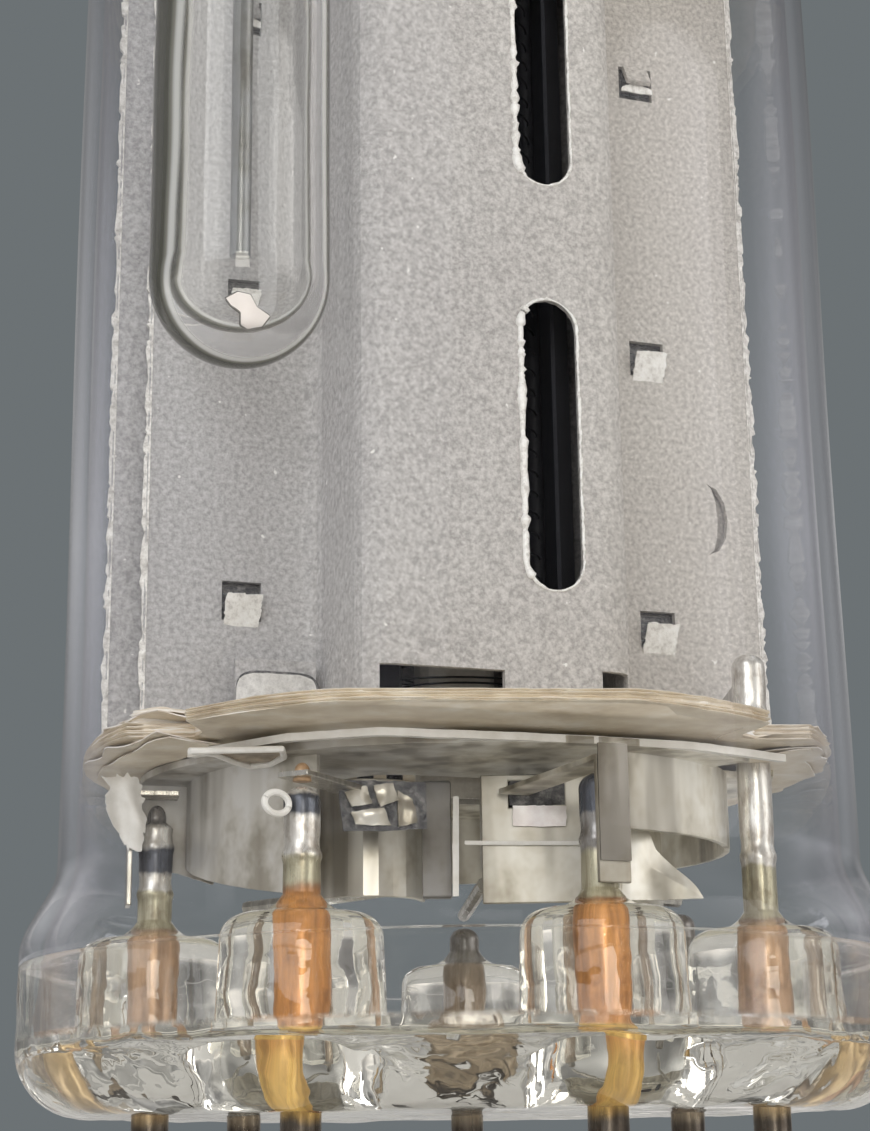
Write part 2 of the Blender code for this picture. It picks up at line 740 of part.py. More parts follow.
def make_cathode():
    """A flat-sided sleeve, open at both ends, through both micas."""
    outline = obround(0.0, 0.0, CATHODE_HALF_W - CATHODE_WALL / 2, CATHODE_HALF_D - CATHODE_WALL / 2)
    bottom = SHIELD_BOTTOM - 2 * GAP
    height = UPPER_TOP + ROD_ABOVE - bottom
    swept_sheet(
        "cathode", upright(outline, bottom), (0.0, 0.0, height), CATHODE_WALL, WHITE, closed=True
    )


def make_heater():
    """One wire folded to and fro inside the cathode, its two ends reaching down to their wires."""
    top = UPPER_TOP
    turn_low = ANODE_BOTTOM
    points = []
    for leg in range(HEATER_LEGS):
        x = -HEATER_HALF + 2 * HEATER_HALF * leg / (HEATER_LEGS - 1)
        last = leg in (0, HEATER_LEGS - 1)
        low = INNER_END if last else turn_low
        ends = [low, top] if leg % 2 == 0 else [top, low]
        points += [(x, 0.0, end) for end in ends]
    wire("heater", points, HEATER_R, WHITE, 0)


def make_grid(name, half_w, half_d, left_end, right_end, paint):
    """Two side rods and a wire wound round them, joined into one piece."""
    start = ANODE_BOTTOM + GRID_MARGIN
    pitch = (ANODE_H - 2 * GRID_MARGIN) / GRID_TURNS
    points = []
    for i in range(GRID_TURNS * TURN_POINTS + 1):
        a = 2 * math.pi * i / TURN_POINTS
        points.append((half_w * math.cos(a), half_d * math.sin(a), start + pitch * i / TURN_POINTS))
    winding = wire(f"{name}_winding", points, GRID_WIRE_R, paint, 0)
    tool = as_mesh(winding, None)
    top = UPPER_TOP + ROD_ABOVE
    right = rods(name, [(half_w, 0.0, right_end, top)], SIDE_ROD_R, 8, paint)
    left = rods(f"{name}_left_tool", [(-half_w, 0.0, left_end, top)], SIDE_ROD_R, 8)
    combine(right, tool, "UNION")
    combine(right, left, "UNION")


def make_beam_plate(name, side):
    """A trough round the narrow side of the grids, with a tongue through each mica."""
    corners = [
        (side * (BEAM_X - BEAM_RETURN), -BEAM_HALF_D),
        (side * BEAM_X, -BEAM_CORNER_D),
        (side * BEAM_X, BEAM_CORNER_D),
        (side * (BEAM_X - BEAM_RETURN), BEAM_HALF_D),
    ]
    bottom = ANODE_BOTTOM + GAP
    height = ANODE_H - 2 * GAP
    path = upright(folded_path(corners, (FOLD_BASE, FOLD_BASE)), bottom)
    plate = swept_sheet(name, path, (0.0, 0.0, height), BEAM_T, NICKEL)
    reach = bottom - MICA_BOTTOM
    root = 2 * BEAM_T
    low = (side * BEAM_X, 0.0, bottom + (root - reach) / 2)
    high = (side * BEAM_X, 0.0, bottom + height + (reach - root) / 2)
    size = (BEAM_TONGUE_T, BEAM_TONGUE_W, root + reach)
    combine(plate, boxes(f"{name}_tool", [(low, size, 0.0), (high, size, 0.0)]), "UNION")


def make_lower_shield():
    """A flat dish under the mica with a skirt round it, open at the front and deeper on the left of it."""
    edge = [stem_point(x, y) for x, y in arc(0, 0, SHIELD_HALF_W, SHIELD_HALF_D, 0, 2 * math.pi, 56)[:-1]]
    opening = obround(0.0, 0.0, SHIELD_HOLE_W, SHIELD_HOLE_D)
    shield = flat_plate("lower_shield", [edge, opening], SHIELD_BOTTOM, SHIELD_T, NICKEL)
    x, y = pin_point(4)
    around_post = rods(
        "post_notch_tool",
        [(x, y, SHIELD_BOTTOM - SHIELD_T, SHIELD_BOTTOM + 2 * SHIELD_T)],
        LEAD_R + POST_CLEAR,
        16,
    )
    combine(shield, around_post, "DIFFERENCE")
    around = arc(
        0.0,
        0.0,
        SKIRT_HALF_W,
        SKIRT_HALF_D,
        SKIRT_RIGHT - math.pi / 2,
        3 * math.pi / 2 - SKIRT_LEFT,
        36,
    )
    path = []
    for x, y in around:
        forward = max(0.0, -y / SKIRT_HALF_D) if x < 0.0 else 0.0
        path.append((*stem_point(x, y), SKIRT_BOTTOM - SKIRT_DEEPER * forward))
    level = SHIELD_BOTTOM + SHIELD_T / 2
    skirt = swept_sheet("skirt_tool", path, (0.0, 0.0, SKIRT_DROP), SKIRT_T, None, level=level)
    combine(shield, skirt, "UNION")


def make_screen_bracket():
    """A folded plate with a window above its shelf, hung under the shield."""
    left, right = BRACKET_LEFT, BRACKET_RIGHT
    face = [(*stem_point(x, BRACKET_Y), HANG_TOP - BRACKET_DROP) for x in (left, right)]
    bracket = swept_sheet("screen_bracket", face, (0.0, 0.0, BRACKET_DROP), STRAP_T, NICKEL)
    shelf = boxes(
        "shelf_tool",
        [
            (
                ((left + right) / 2, BRACKET_Y + BRACKET_SHELF / 2, HANG_TOP - BRACKET_FOLD),
                ((right - left) * 0.96, BRACKET_SHELF, STRAP_T),
                0.0,
            )
        ],
    )
    shelf.rotation_euler.z = STEM_TURN
    combine(bracket, shelf, "UNION")
    window = boxes(
        "window_tool",
        [
            (
                (left + WINDOW_SIDE + WINDOW_W / 2, BRACKET_Y, HANG_TOP - WINDOW_TOP - WINDOW_H / 2),
                (WINDOW_W, 6 * STRAP_T, WINDOW_H),
                0.0,
            )
        ],
    )
    window.rotation_euler.z = STEM_TURN
    combine(bracket, window, "DIFFERENCE")


def make_cathode_can():
    """A half-round shell in front of the cathode's lower end."""
    around = arc(CAN_X, CAN_Y, CAN_R, CAN_R, -math.pi, 0.0, 12)
    path = upright([stem_point(x, y) for x, y in around], HANG_TOP - CAN_DROP)
    swept_sheet("cathode_can", path, (0.0, 0.0, CAN_DROP), STRAP_T, NICKEL)


def make_centre_bar():
    bar = boxes(
        "centre_bar",
        [((BAR_X, BAR_Y, HANG_TOP - CAN_DROP / 2), (BAR_W, BAR_T, CAN_DROP), 0.0)],
        NICKEL,
    )
    bar.rotation_euler.z = STEM_TURN


def make_curved_baffle():
    """A curved sheet between the third and the fourth lead, just inside the skirt."""
    around = arc(0.0, 0.0, BAFFLE_R, BAFFLE_R, BAFFLE_FROM - math.pi / 2, BAFFLE_TO - math.pi / 2, 8)
    path = upright([stem_point(x, y) for x, y in around], HANG_TOP - BAFFLE_DROP)
    swept_sheet("curved_baffle", path, (0.0, 0.0, BAFFLE_DROP), STRAP_T, NICKEL)


def make_strap(name, number, outer, inner_end, down):
    """A strip over a lead's top, with a leg down its outer side and an arm towards the middle."""
    over = lead_top(number) + GAP + STRAP_T / 2
    azimuth = pin_azimuth(number)
    section = [(inner_end, over), (outer, over)]
    if down:
        section.append((outer, over - down))
    tx, ty = math.cos(azimuth), math.sin(azimuth)
    path = []
    for radius, z in section:
        x, y = at_azimuth(azimuth, radius)
        path.append((x - tx * STRAP_W / 2, y - ty * STRAP_W / 2, z))
    swept_sheet(name, path, (tx * STRAP_W, ty * STRAP_W, 0.0), STRAP_T, NICKEL)


def make_straps():
    outside = PIN_CIRCLE_R + LEAD_R + GAP + STRAP_T / 2
    skirt_side = SKIRT_HALF_W + SKIRT_T / 2 + GAP
    make_strap("shield_strap", 1, outside, skirt_side, STRAP_DOWN)
    can_front = math.hypot(CAN_X, CAN_Y) + CAN_R * 0.42
    make_strap("cathode_strap", 2, PIN_CIRCLE_R + LEAD_R, can_front, 0.0)
    bracket_front = (-BRACKET_Y + STRAP_T + GAP) / math.cos(math.pi / PIN_COUNT)
    make_strap("screen_strap", 3, outside, bracket_front, STRAP_DOWN)


def make_anode_strap():
    """A strip from the fourth lead back to the right wing."""
    x, y = pin_point(4)
    top = lead_top(4) - 2 * GAP
    start = (x + 0.25 * (LEAD_R + GAP), y + LEAD_R + GAP, top)
    end = (x + 0.25 * (LEAD_R - y), -WING_FACE - GAP, top)
    swept_sheet("anode_strap", [start, end], (0.0, 0.0, -POST_STRAP_H), STRAP_T, NICKEL)


def make_lower_wires():
    """Wires from the three rear leads, passing under the skirt to the inner ends."""
    ends = {5: (CONTROL_X, 0.0), 6: (HEATER_HALF, 0.0), 7: (-HEATER_HALF, 0.0)}
    names = {5: "control_wire", 6: "heater_wire_right", 7: "heater_wire_left"}
    for number, (x, y) in ends.items():
        px, py = pin_point(number)
        bow = 0.06 * (number - 6)
        middle = ((px + x) / 2 + bow * (py - y), (py + y) / 2 - bow * (px - x))
        points = []
        steps = 8
        for i in range(steps + 1):
            t = i / steps
            wx = (1 - t) ** 2 * px + 2 * t * (1 - t) * middle[0] + t * t * x
            wy = (1 - t) ** 2 * py + 2 * t * (1 - t) * middle[1] + t * t * y
            points.append((wx, wy, WIRE_Z))
        wire(names[number], points, WIRE_R, NICKEL)


def make_glass_sleeve():
    """A round-bottomed glass tube, open at its top, just under the upper mica."""
    bottom = ANODE_BOTTOM + SLEEVE_ABOVE_FOOT
    top = ANODE_TOP
    inner = SLEEVE_R - SLEEVE_WALL
    profile = [(SLEEVE_R, top)]
    profile += arc(0.0, bottom + SLEEVE_R, SLEEVE_R, SLEEVE_R, 0.0, -math.pi / 2, 7)[:-1]
    profile += [(0.0, bottom), (0.0, bottom + SLEEVE_WALL)]
    profile += arc(0.0, bottom + SLEEVE_R, inner, inner, -math.pi / 2, 0.0, 6)[1:]
    profile += [(inner, top)]
    sleeve = turned("glass_sleeve", profile, GLASS, SLEEVE_STEPS)
    sleeve.location = (SLEEVE_X, SLEEVE_Y, 0.0)


def make_sleeve_parts():
    """The rod that hangs inside the sleeve, and the collar that carries the sleeve on it."""
    bottom = ANODE_BOTTOM + SLEEVE_ABOVE_FOOT + SLEEVE_WALL + ROD_ABOVE_BOTTOM
    rods(
        "sleeve_rod", [(SLEEVE_X, SLEEVE_Y, bottom, UPPER_TOP + ROD_HEAD)], SLEEVE_ROD_R, 12, NICKEL
    )
    outer = SLEEVE_R - SLEEVE_WALL - GAP
    bore = SLEEVE_ROD_R + GAP
    profile = [(outer, ANODE_TOP), (outer, ANODE_TOP - PLUG_H), (bore, ANODE_TOP - PLUG_H), (bore, ANODE_TOP)]
    collar = turned("sleeve_collar", profile, NICKEL, 16)
    collar.location = (SLEEVE_X, SLEEVE_Y, 0.0)


def make_getter():
    """A channel ring on a bent wire that stands in the upper mica."""
    low = UPPER_TOP + GETTER_RISE
    outer = GETTER_R + GETTER_W / 2
    inner = GETTER_R - GETTER_W / 2
    profile = [
        (outer, low + GETTER_H),
        (outer, low),
        (inner, low),
        (inner, low + GETTER_H),
        (inner + GETTER_WALL, low + GETTER_H),
        (inner + GETTER_WALL, low + GETTER_WALL),
        (outer - GETTER_WALL, low + GETTER_WALL),
        (outer - GETTER_WALL, low + GETTER_H),
    ]
    turned("getter_ring", profile, NICKEL, 24)
    under = low - GAP - GETTER_WIRE_R
    bend = GETTER_WIRE_R * 3
    points = [(0.0, GETTER_POST_Y, ANODE_TOP - GAP), (0.0, GETTER_POST_Y, under - bend)]
    points += [
        (0.0, y, z)
        for y, z in arc(GETTER_POST_Y - bend, under - bend, bend, bend, 0.0, math.pi / 2, 4)[1:]
    ]
    points.append((0.0, inner, under))
    wire("getter_post", points, GETTER_WIRE_R, NICKEL)


clear_scene()
TUBE = new_collection("vacuum_tube")
TOOLS = new_collection("tools")

GLASS = material("glass", (0.90, 0.92, 0.88), 0.05, transmission=1.0)
ANODE_GREY = material("anode_grey", (0.42, 0.41, 0.40), 0.75, metallic=0.2)
NICKEL = material("nickel", (0.72, 0.70, 0.66), 0.25, metallic=1.0)
MICA = material("mica", (0.62, 0.55, 0.46), 0.35)
WHITE = material("oxide_white", (0.80, 0.79, 0.75), 0.8)

make_stem_plate()
make_bulb()
for pin_number in range(1, PIN_COUNT + 1):
    make_pin(pin_number)
make_micas()
make_anode_front()
make_anode_back()
make_anode_strap()
make_cathode()
make_heater()
make_grid("control_grid", CONTROL_X, CONTROL_HALF_D, HANG_TOP, INNER_END, NICKEL)
make_grid("screen_grid", SCREEN_X, SCREEN_HALF_D, HANG_TOP, HANG_TOP - BRACKET_FOLD + GAP + STRAP_T, NICKEL)
make_beam_plate("beam_plate_left", -1)
make_beam_plate("beam_plate_right", 1)
make_lower_shield()
make_screen_bracket()
make_cathode_can()
make_centre_bar()
make_curved_baffle()
make_straps()
make_lower_wires()
make_glass_sleeve()
make_sleeve_parts()
make_getter()
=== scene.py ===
import math

import bmesh
import bpy
import numpy as np
from mathutils import Matrix, Vector


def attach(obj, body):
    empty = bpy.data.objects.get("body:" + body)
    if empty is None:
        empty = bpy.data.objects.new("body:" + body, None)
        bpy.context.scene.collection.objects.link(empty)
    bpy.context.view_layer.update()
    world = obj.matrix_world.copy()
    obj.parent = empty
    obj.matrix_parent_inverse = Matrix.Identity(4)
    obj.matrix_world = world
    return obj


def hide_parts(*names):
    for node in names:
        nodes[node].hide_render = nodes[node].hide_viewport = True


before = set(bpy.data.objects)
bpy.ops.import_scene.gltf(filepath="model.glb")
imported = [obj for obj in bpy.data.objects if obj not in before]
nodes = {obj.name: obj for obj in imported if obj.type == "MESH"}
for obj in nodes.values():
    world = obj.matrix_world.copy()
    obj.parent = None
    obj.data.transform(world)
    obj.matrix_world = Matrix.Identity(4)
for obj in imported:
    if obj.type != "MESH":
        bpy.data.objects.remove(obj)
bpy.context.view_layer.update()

scene = bpy.context.scene
scene.view_settings.view_transform = "Standard"
mm = 0.001


# shared helpers

def ripple(points, size, seed):
    # smooth unevenness of about -1 to 1: the mean of twelve sine waves in random directions, all of one wavelength
    draw = np.random.default_rng(seed)
    ways = draw.normal(size=(12, 3))
    ways *= 2 * np.pi / size / np.linalg.norm(ways, axis=1, keepdims=True)
    return np.sin(points @ ways.T + draw.uniform(0, 2 * np.pi, 12)).mean(axis=-1) * 2.5


def jagged(count, knots, seed):
    # a torn edge's reach from 0 to 1 round a closed path: random heights at random places, joined by straight lines
    draw = np.random.default_rng(seed)
    places = np.sort(draw.uniform(0, 1, knots))
    return np.interp(np.arange(count) / count, places, draw.uniform(0, 1, knots), period=1)


def gridFaces(rows, closeRows=False, closeColumns=False, capEnds=False):
    # rows is (rows, columns, 3): each point and its three next neighbours make a quad
    count, width = rows.shape[:2]
    index = np.arange(count * width).reshape(count, width)
    caps = [index[0][::-1].tolist(), index[-1].tolist()] if capEnds else []
    if closeRows:
        index = np.concatenate([index, index[:1]])
    if closeColumns:
        index = np.concatenate([index, index[:, :1]], axis=1)
    quads = np.stack([index[:-1, :-1], index[:-1, 1:], index[1:, 1:], index[1:, :-1]], axis=-1)
    return rows.reshape(-1, 3), quads.reshape(-1, 4).tolist() + caps


mergeWithin = 0.0005  # mm
foldEdge = {"segments": 2, "angle": 50}


def finishMesh(mesh, sharp=None, outward=True):
    # merge the seams, turn the faces outwards and shade smooth, with edges over the sharp angle left crisp
    made = bmesh.new()
    made.from_mesh(mesh)
    bmesh.ops.remove_doubles(made, verts=made.verts, dist=mergeWithin * mm)
    if outward:
        bmesh.ops.recalc_face_normals(made, faces=made.faces)
    made.to_mesh(mesh)
    made.free()
    mesh.shade_smooth()
    if sharp is not None:
        mesh.set_sharp_from_angle(angle=math.radians(sharp))


def placePiece(name, mesh, standsFor=()):
    # the finished mesh as a piece that rides on the tube, in place of the CAD pieces it stands for
    piece = bpy.data.objects.new(name, mesh)
    scene.collection.objects.link(piece)
    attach(piece, "root")
    if standsFor:
        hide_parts(*standsFor)
    return piece


def makePiece(name, parts, paint, standsFor=(), sharp=None, shadow=True):
    # one piece from several grids; clear glass casts no shadow
    points, faces, start = [], [], 0
    for partPoints, partFaces in parts:
        points.append(partPoints)
        faces += [[corner + start for corner in face] for face in partFaces]
        start += len(partPoints)
    mesh = bpy.data.meshes.new(name)
    mesh.from_pydata(np.concatenate(points), [], faces)
    finishMesh(mesh, sharp)
    mesh.materials.append(paint)
    placePiece(name, mesh, standsFor).visible_shadow = shadow


def smoothCopy(nodeName, name, paint, bevel=0.04, sharp=35):
    # the CAD piece's own shape with smooth folds and fine rounded edges
    mesh = nodes[nodeName].data.copy()
    mesh.name = name
    mesh.materials.clear()
    mesh.materials.append(paint)
    finishMesh(mesh, sharp, outward=False)
    piece = placePiece(name, mesh, [nodeName])
    if bevel:
        edge = piece.modifiers.new("edge", "BEVEL")
        edge.width = bevel * mm
        edge.segments = foldEdge["segments"]
        edge.limit_method = "ANGLE"
        edge.angle_limit = math.radians(foldEdge["angle"])


def turnedRows(profile, steps, centre=(0.0, 0.0)):
    # a profile of (radius, height) carried round an upright axis: x = r sin a, y = -r cos a
    profile = np.asarray(profile, float)
    angles = np.linspace(0, 2 * np.pi, steps, endpoint=False)
    r, z = profile[:, 0][:, None], profile[:, 1][:, None]
    x = centre[0] + r * np.sin(angles)
    y = centre[1] - r * np.cos(angles)
    return np.stack([x, y, np.broadcast_to(z, x.shape)], axis=-1)


def bow(cx, cz, rx, rz, start, end, steps):
    # points of an ellipse from one angle to the other, in degrees
    a = np.radians(np.linspace(start, end, steps))
    return np.stack([cx + rx * np.cos(a), cz + rz * np.sin(a)], axis=1)


def straight(x0, z0, x1, z1, steps):
    # points at equal steps from one place to another
    t = np.linspace(0, 1, steps)[:, None]
    return np.array([[x0, z0]]) * (1 - t) + np.array([[x1, z1]]) * t


def tubeRows(path, radius, sides):
    # a round section carried along a path of points; each section stands square to the path
    path = np.asarray(path, float)
    along = np.gradient(path, axis=0)
    along /= np.linalg.norm(along, axis=1, keepdims=True)
    helper = np.where(np.abs(along[:, 2:3]) > 0.9, [[1.0, 0.0, 0.0]], [[0.0, 0.0, 1.0]])
    side = np.cross(along, helper)
    side /= np.linalg.norm(side, axis=1, keepdims=True)
    up = np.cross(side, along)
    a = np.linspace(0, 2 * np.pi, sides, endpoint=False)
    radius = np.broadcast_to(radius, (len(path),))[:, None, None]
    ring = side[:, None] * np.cos(a)[:, None] + up[:, None] * np.sin(a)[:, None]
    return path[:, None] + radius * ring


def alongPath(points, count, closed=False):
    # points at equal steps of length along a path of straight stretches
    points = np.asarray(points, float)
    if closed:
        points = np.concatenate([points, points[:1]])
    run = np.concatenate([[0], np.cumsum(np.linalg.norm(np.diff(points, axis=0), axis=1))])
    at = np.linspace(0, run[-1], count, endpoint=not closed)
    return np.stack([np.interp(at, run, column) for column in points.T], axis=-1)


def cutSheet(outline, thick, wave=0.0, size=2.0, tear=0.0, seed=1, rings=9, count=140, knots=48):
    # a thin plate inside an outline: rings shrink to its middle on the front, and grow again on the back
    edge = alongPath(outline, count, closed=True)
    middle = edge.mean(axis=0)
    normal = np.linalg.svd(edge - middle, full_matrices=False)[2][2]
    away = (edge - middle) / np.linalg.norm(edge - middle, axis=1, keepdims=True)
    edge = edge + away * (jagged(count, knots, seed)[:, None] * tear)
    t = np.linspace(0, 1, rings)[:, None, None]
    face = middle + (edge - middle) * t
    face = face + normal * (wave * ripple(face, size, seed))[..., None]
    rows = np.concatenate([face + normal * thick / 2, face[::-1] - normal * thick / 2])
    return gridFaces(rows * mm, closeColumns=True)


def loop(points, radius, sides=8, count=120):
    # a round wire along a closed path of points
    path = alongPath(points, count, closed=True)
    rows = tubeRows(np.concatenate([path, path[:1]]), radius, sides)[:-1]
    return gridFaces(rows * mm, closeRows=True, closeColumns=True)


def strip(points, width, low, high, count=140, knots=60, seed=1, tear=0.0):
    # a flat band that follows a path on a level, its width laid towards the tube's axis
    path = alongPath(points, count)
    away = path / np.linalg.norm(path, axis=1, keepdims=True)
    outer = path + away * (jagged(count, knots, seed) * tear)[:, None]
    inner = outer - away * width
    corners = [(inner, low), (outer, low), (outer, high), (inner, high)]
    rows = np.stack([np.concatenate([flat, np.full((count, 1), level)], axis=1) for flat, level in corners], axis=1)
    return gridFaces(rows * mm, closeColumns=True, capEnds=True)


def standing(shape, y):
    # places of (across, height) laid on an upright wall at one depth
    return np.array([(x, y, z) for x, z in shape])


def turned(points, azimuth):
    # the points turned about the tube's axis, counted towards +X
    c, s = math.cos(azimuth), math.sin(azimuth)
    return points @ np.array([[c, s, 0], [-s, c, 0], [0, 0, 1]])


def around(azimuth, radius):
    # the place at that angle from the front, counted towards +X
    return np.stack([radius * np.sin(azimuth), -radius * np.cos(azimuth)], axis=-1)


# camera and lights

cameraAt = {"azimuth": -18.65, "distance": 89.03, "height": 10.6, "sideways": -0.77,
            "pitch": 15.61, "roll": -0.77, "lens": 66.7}


def aimCamera(at):
    # turned about the tube, tipped up, then rolled about the line of sight
    turn, tip, roll = (math.radians(at[key]) for key in ("azimuth", "pitch", "roll"))
    level = Vector((math.cos(turn), math.sin(turn), 0))
    ahead = Vector((-math.sin(turn), math.cos(turn), 0))
    forward = ahead * math.cos(tip) + Vector((0, 0, math.sin(tip)))
    up = Vector((0, 0, math.cos(tip))) - ahead * math.sin(tip)
    right = level * math.cos(roll) + up * math.sin(roll)
    upright = up * math.cos(roll) - level * math.sin(roll)
    camera = bpy.data.objects.new("camera", bpy.data.cameras.new("camera"))
    scene.collection.objects.link(camera)
    place = (level * at["sideways"] - ahead * at["distance"] + Vector((0, 0, at["height"]))) * mm
    camera.matrix_world = Matrix.Translation(place) @ Matrix((right, upright, -forward)).transposed().to_4x4()
    camera.data.lens = at["lens"]
    camera.data.clip_start = 0.001
    scene.camera = camera


aimCamera(cameraAt)

lightSet = {
    "key": {"place": (-0.34, -0.42, 0.26), "size": 0.40, "power": 1.25, "colour": (0.97, 0.98, 1.0),
            "mirrored": True, "throughGlass": False},
    "fill": {"place": (0.40, -0.36, 0.14), "size": 0.40, "power": 0.92, "colour": (1.0, 0.97, 0.93),
             "mirrored": True, "throughGlass": True},
    "low": {"place": (-0.10, -0.46, 0.03), "size": 0.14, "power": 0.42, "colour": (1.0, 0.96, 0.87),
            "mirrored": True, "throughGlass": True},
    "back": {"place": (-0.30, 0.42, 0.20), "size": 0.36, "power": 0.45, "colour": (0.96, 0.97, 1.0),
             "mirrored": False, "throughGlass": False},
    "top": {"place": (0.02, 0.02, 0.55), "size": 0.45, "power": 0.50, "colour": (1.0, 0.99, 0.97),
            "mirrored": False, "throughGlass": False},
}


def addLights(lights, target=Vector((0, 0, 0.04))):
    # square soft panels that face the middle of the tube
    for name, light in lights.items():
        lamp = bpy.data.lights.new(name, "AREA")
        lamp.size = light["size"]
        lamp.energy = light["power"]
        lamp.color = light["colour"]
        holder = bpy.data.objects.new(name, lamp)
        place = Vector(light["place"])
        holder.matrix_world = Matrix.Translation(place) @ (target - place).to_track_quat("-Z", "Y").to_matrix().to_4x4()
        holder.visible_camera = False
        holder.visible_glossy = light["mirrored"]
        holder.visible_transmission = light["throughGlass"]
        scene.collection.objects.link(holder)


addLights(lightSet)


# materials

def newPaint(name, **settings):
    # a Principled material, its node tree and its shader; settings are socket names with _ for a space
    paint = bpy.data.materials.new(name)
    paint.use_nodes = True
    shader = paint.node_tree.nodes["Principled BSDF"]
    for socket, value in settings.items():
        shader.inputs[socket.replace("_", " ")].default_value = value
    return paint, paint.node_tree, shader


def add(tree, kind, inputs=None, **settings):
    # one shader step with its settings and fixed inputs
    node = tree.nodes.new("ShaderNode" + kind)
    for key, value in settings.items():
        setattr(node, key, value)
    for key, value in (inputs or {}).items():
        node.inputs[key].default_value = value
    return node


def feed(tree, value, socket):
    # a link is joined to the socket, and a number or a colour is set there
    if hasattr(value, "is_output"):
        tree.links.new(value, socket)
    else:
        socket.default_value = (*value, 1.0) if socket.type == "RGBA" else value


def reckoned(tree, operation, *values):
    # one step of arithmetic on links and numbers
    node = add(tree, "Math", operation=operation)
    for value, socket in zip(values, node.inputs):
        feed(tree, value, socket)
    return node.outputs[0]


def stretched(tree, scale=(1, 1, 1)):
    # Object coordinates, stretched for streaks or layers
    node = add(tree, "Mapping", {"Scale": scale})
    tree.links.new(add(tree, "TexCoord").outputs["Object"], node.inputs["Vector"])
    return node.outputs["Vector"]


def grain(tree, vector, scale, detail=3.0, roughness=0.6):
    # cloudy noise of about 0 to 1; a larger scale gives finer grain
    noise = add(tree, "TexNoise", {"Scale": scale, "Detail": detail, "Roughness": roughness})
    tree.links.new(vector, noise.inputs["Vector"])
    return noise.outputs["Fac"]


def ramp(tree, source, stops):
    # stops are (place, colour)
    node = add(tree, "ValToRGB")
    band = node.color_ramp
    while len(band.elements) < len(stops):
        band.elements.new(0.5)
    for element, (place, colour) in zip(band.elements, stops):
        element.position = place
        element.color = (*colour, 1.0)
    tree.links.new(source, node.inputs["Fac"])
    return node.outputs["Color"]


def mixColour(tree, factor, first, second, blend="MIX"):
    # each of the three is a link or a fixed value
    node = add(tree, "Mix", data_type="RGBA", blend_type=blend)
    for place, value in ((0, factor), (6, first), (7, second)):  # the sockets for colours
        feed(tree, value, node.inputs[place])
    return node.outputs[2]


def times(tree, first, second):
    # one tone dimmed by another
    return mixColour(tree, 1.0, first, second, "MULTIPLY")


def spread(tree, source, fromLow, fromHigh, toLow, toHigh):
    # one range laid out over another, and held at its ends
    node = add(tree, "MapRange", {"From Min": fromLow, "From Max": fromHigh, "To Min": toLow, "To Max": toHigh})
    tree.links.new(source, node.inputs["Value"])
    return node.outputs["Result"]


def raised(tree, shader, source, distance, strength=1.0):
    # light and dark of the source read as height, in mm
    node = add(tree, "Bump", {"Strength": strength, "Distance": distance * mm})
    tree.links.new(source, node.inputs["Height"])
    tree.links.new(node.outputs["Normal"], shader.inputs["Normal"])


def heightOf(tree, low, high, axis="Z"):
    # 0 at the low level and 1 at the high one, both in mm; the same across the tube with X or Y
    split = add(tree, "SeparateXYZ")
    tree.links.new(add(tree, "TexCoord").outputs["Object"], split.inputs[0])
    return spread(tree, split.outputs[axis], low * mm, high * mm, 0.0, 1.0)


def awayFromAxis(tree, near, far):
    # 0 at the near distance from the tube's axis and 1 at the far one, both in mm
    flat = add(tree, "VectorMath", {1: (1, 1, 0)}, operation="MULTIPLY")
    tree.links.new(add(tree, "TexCoord").outputs["Object"], flat.inputs[0])
    length = add(tree, "VectorMath", operation="LENGTH")
    tree.links.new(flat.outputs["Vector"], length.inputs[0])
    return spread(tree, length.outputs["Value"], near * mm, far * mm, 0.0, 1.0)


def slanted(tree, power):
    # how far the surface is turned from the eye, 0 square to it and 1 along it, to a power
    facing = add(tree, "LayerWeight", {"Blend": 0.5}).outputs["Facing"]
    return reckoned(tree, "POWER", facing, power)


def bentLessThan(tree, most=3.5):
    # 1 for light that has bent or bounced fewer times, and 0 for older light, which then goes straight through
    return reckoned(tree, "LESS_THAN", add(tree, "LightPath").outputs["Ray Depth"], most)


def between(tree, factor, first, second):
    # from the first amount to the second by the factor
    node = add(tree, "Mix", data_type="FLOAT")
    for place, value in ((0, factor), (2, first), (3, second)):  # the sockets for numbers
        feed(tree, value, node.inputs[place])
    return node.outputs[0]


stemLook = {"boss": (0.99, 0.98, 0.925), "plate": (0.985, 0.955, 0.82), "plateTop": (14.2, 14.8),
            "edge": (0.93, 0.90, 0.75), "slant": 3.0, "gleam": 0.5, "ripplesSize": 1.6, "ripplesDepth": 0.105,
            "thinAbove": (14.9, 15.15), "thinBeyond": (16.85, 16.95), "thinShine": (0.02, 0.75)}


def stemGlassPaint(s):
    # clear rippled glass, cream in the plate, that darkens to its edge tone where it is seen at a slant
    paint, tree, shader = newPaint("stemGlass", Roughness=0.02, IOR=1.5, Transmission_Weight=1.0,
                                   Specular_IOR_Level=s["gleam"])
    slant = slanted(tree, s["slant"])
    tone = mixColour(tree, heightOf(tree, *s["plateTop"]), s["plate"], s["boss"])
    tree.links.new(mixColour(tree, slant, tone, s["edge"]), shader.inputs["Base Color"])
    # the rim above the plate is a thin wall: it shows what stands behind it, and shines at its edges
    thin = reckoned(tree, "MULTIPLY", heightOf(tree, *s["thinAbove"]), awayFromAxis(tree, *s["thinBeyond"]))
    shine = spread(tree, slant, 0.0, 1.0, *s["thinShine"])
    tree.links.new(between(tree, thin, bentLessThan(tree), shine), shader.inputs["Alpha"])
    ripples = grain(tree, stretched(tree), scale=1000 / s["ripplesSize"], detail=1.5, roughness=0.4)
    raised(tree, shader, ripples, s["ripplesDepth"])
    return paint


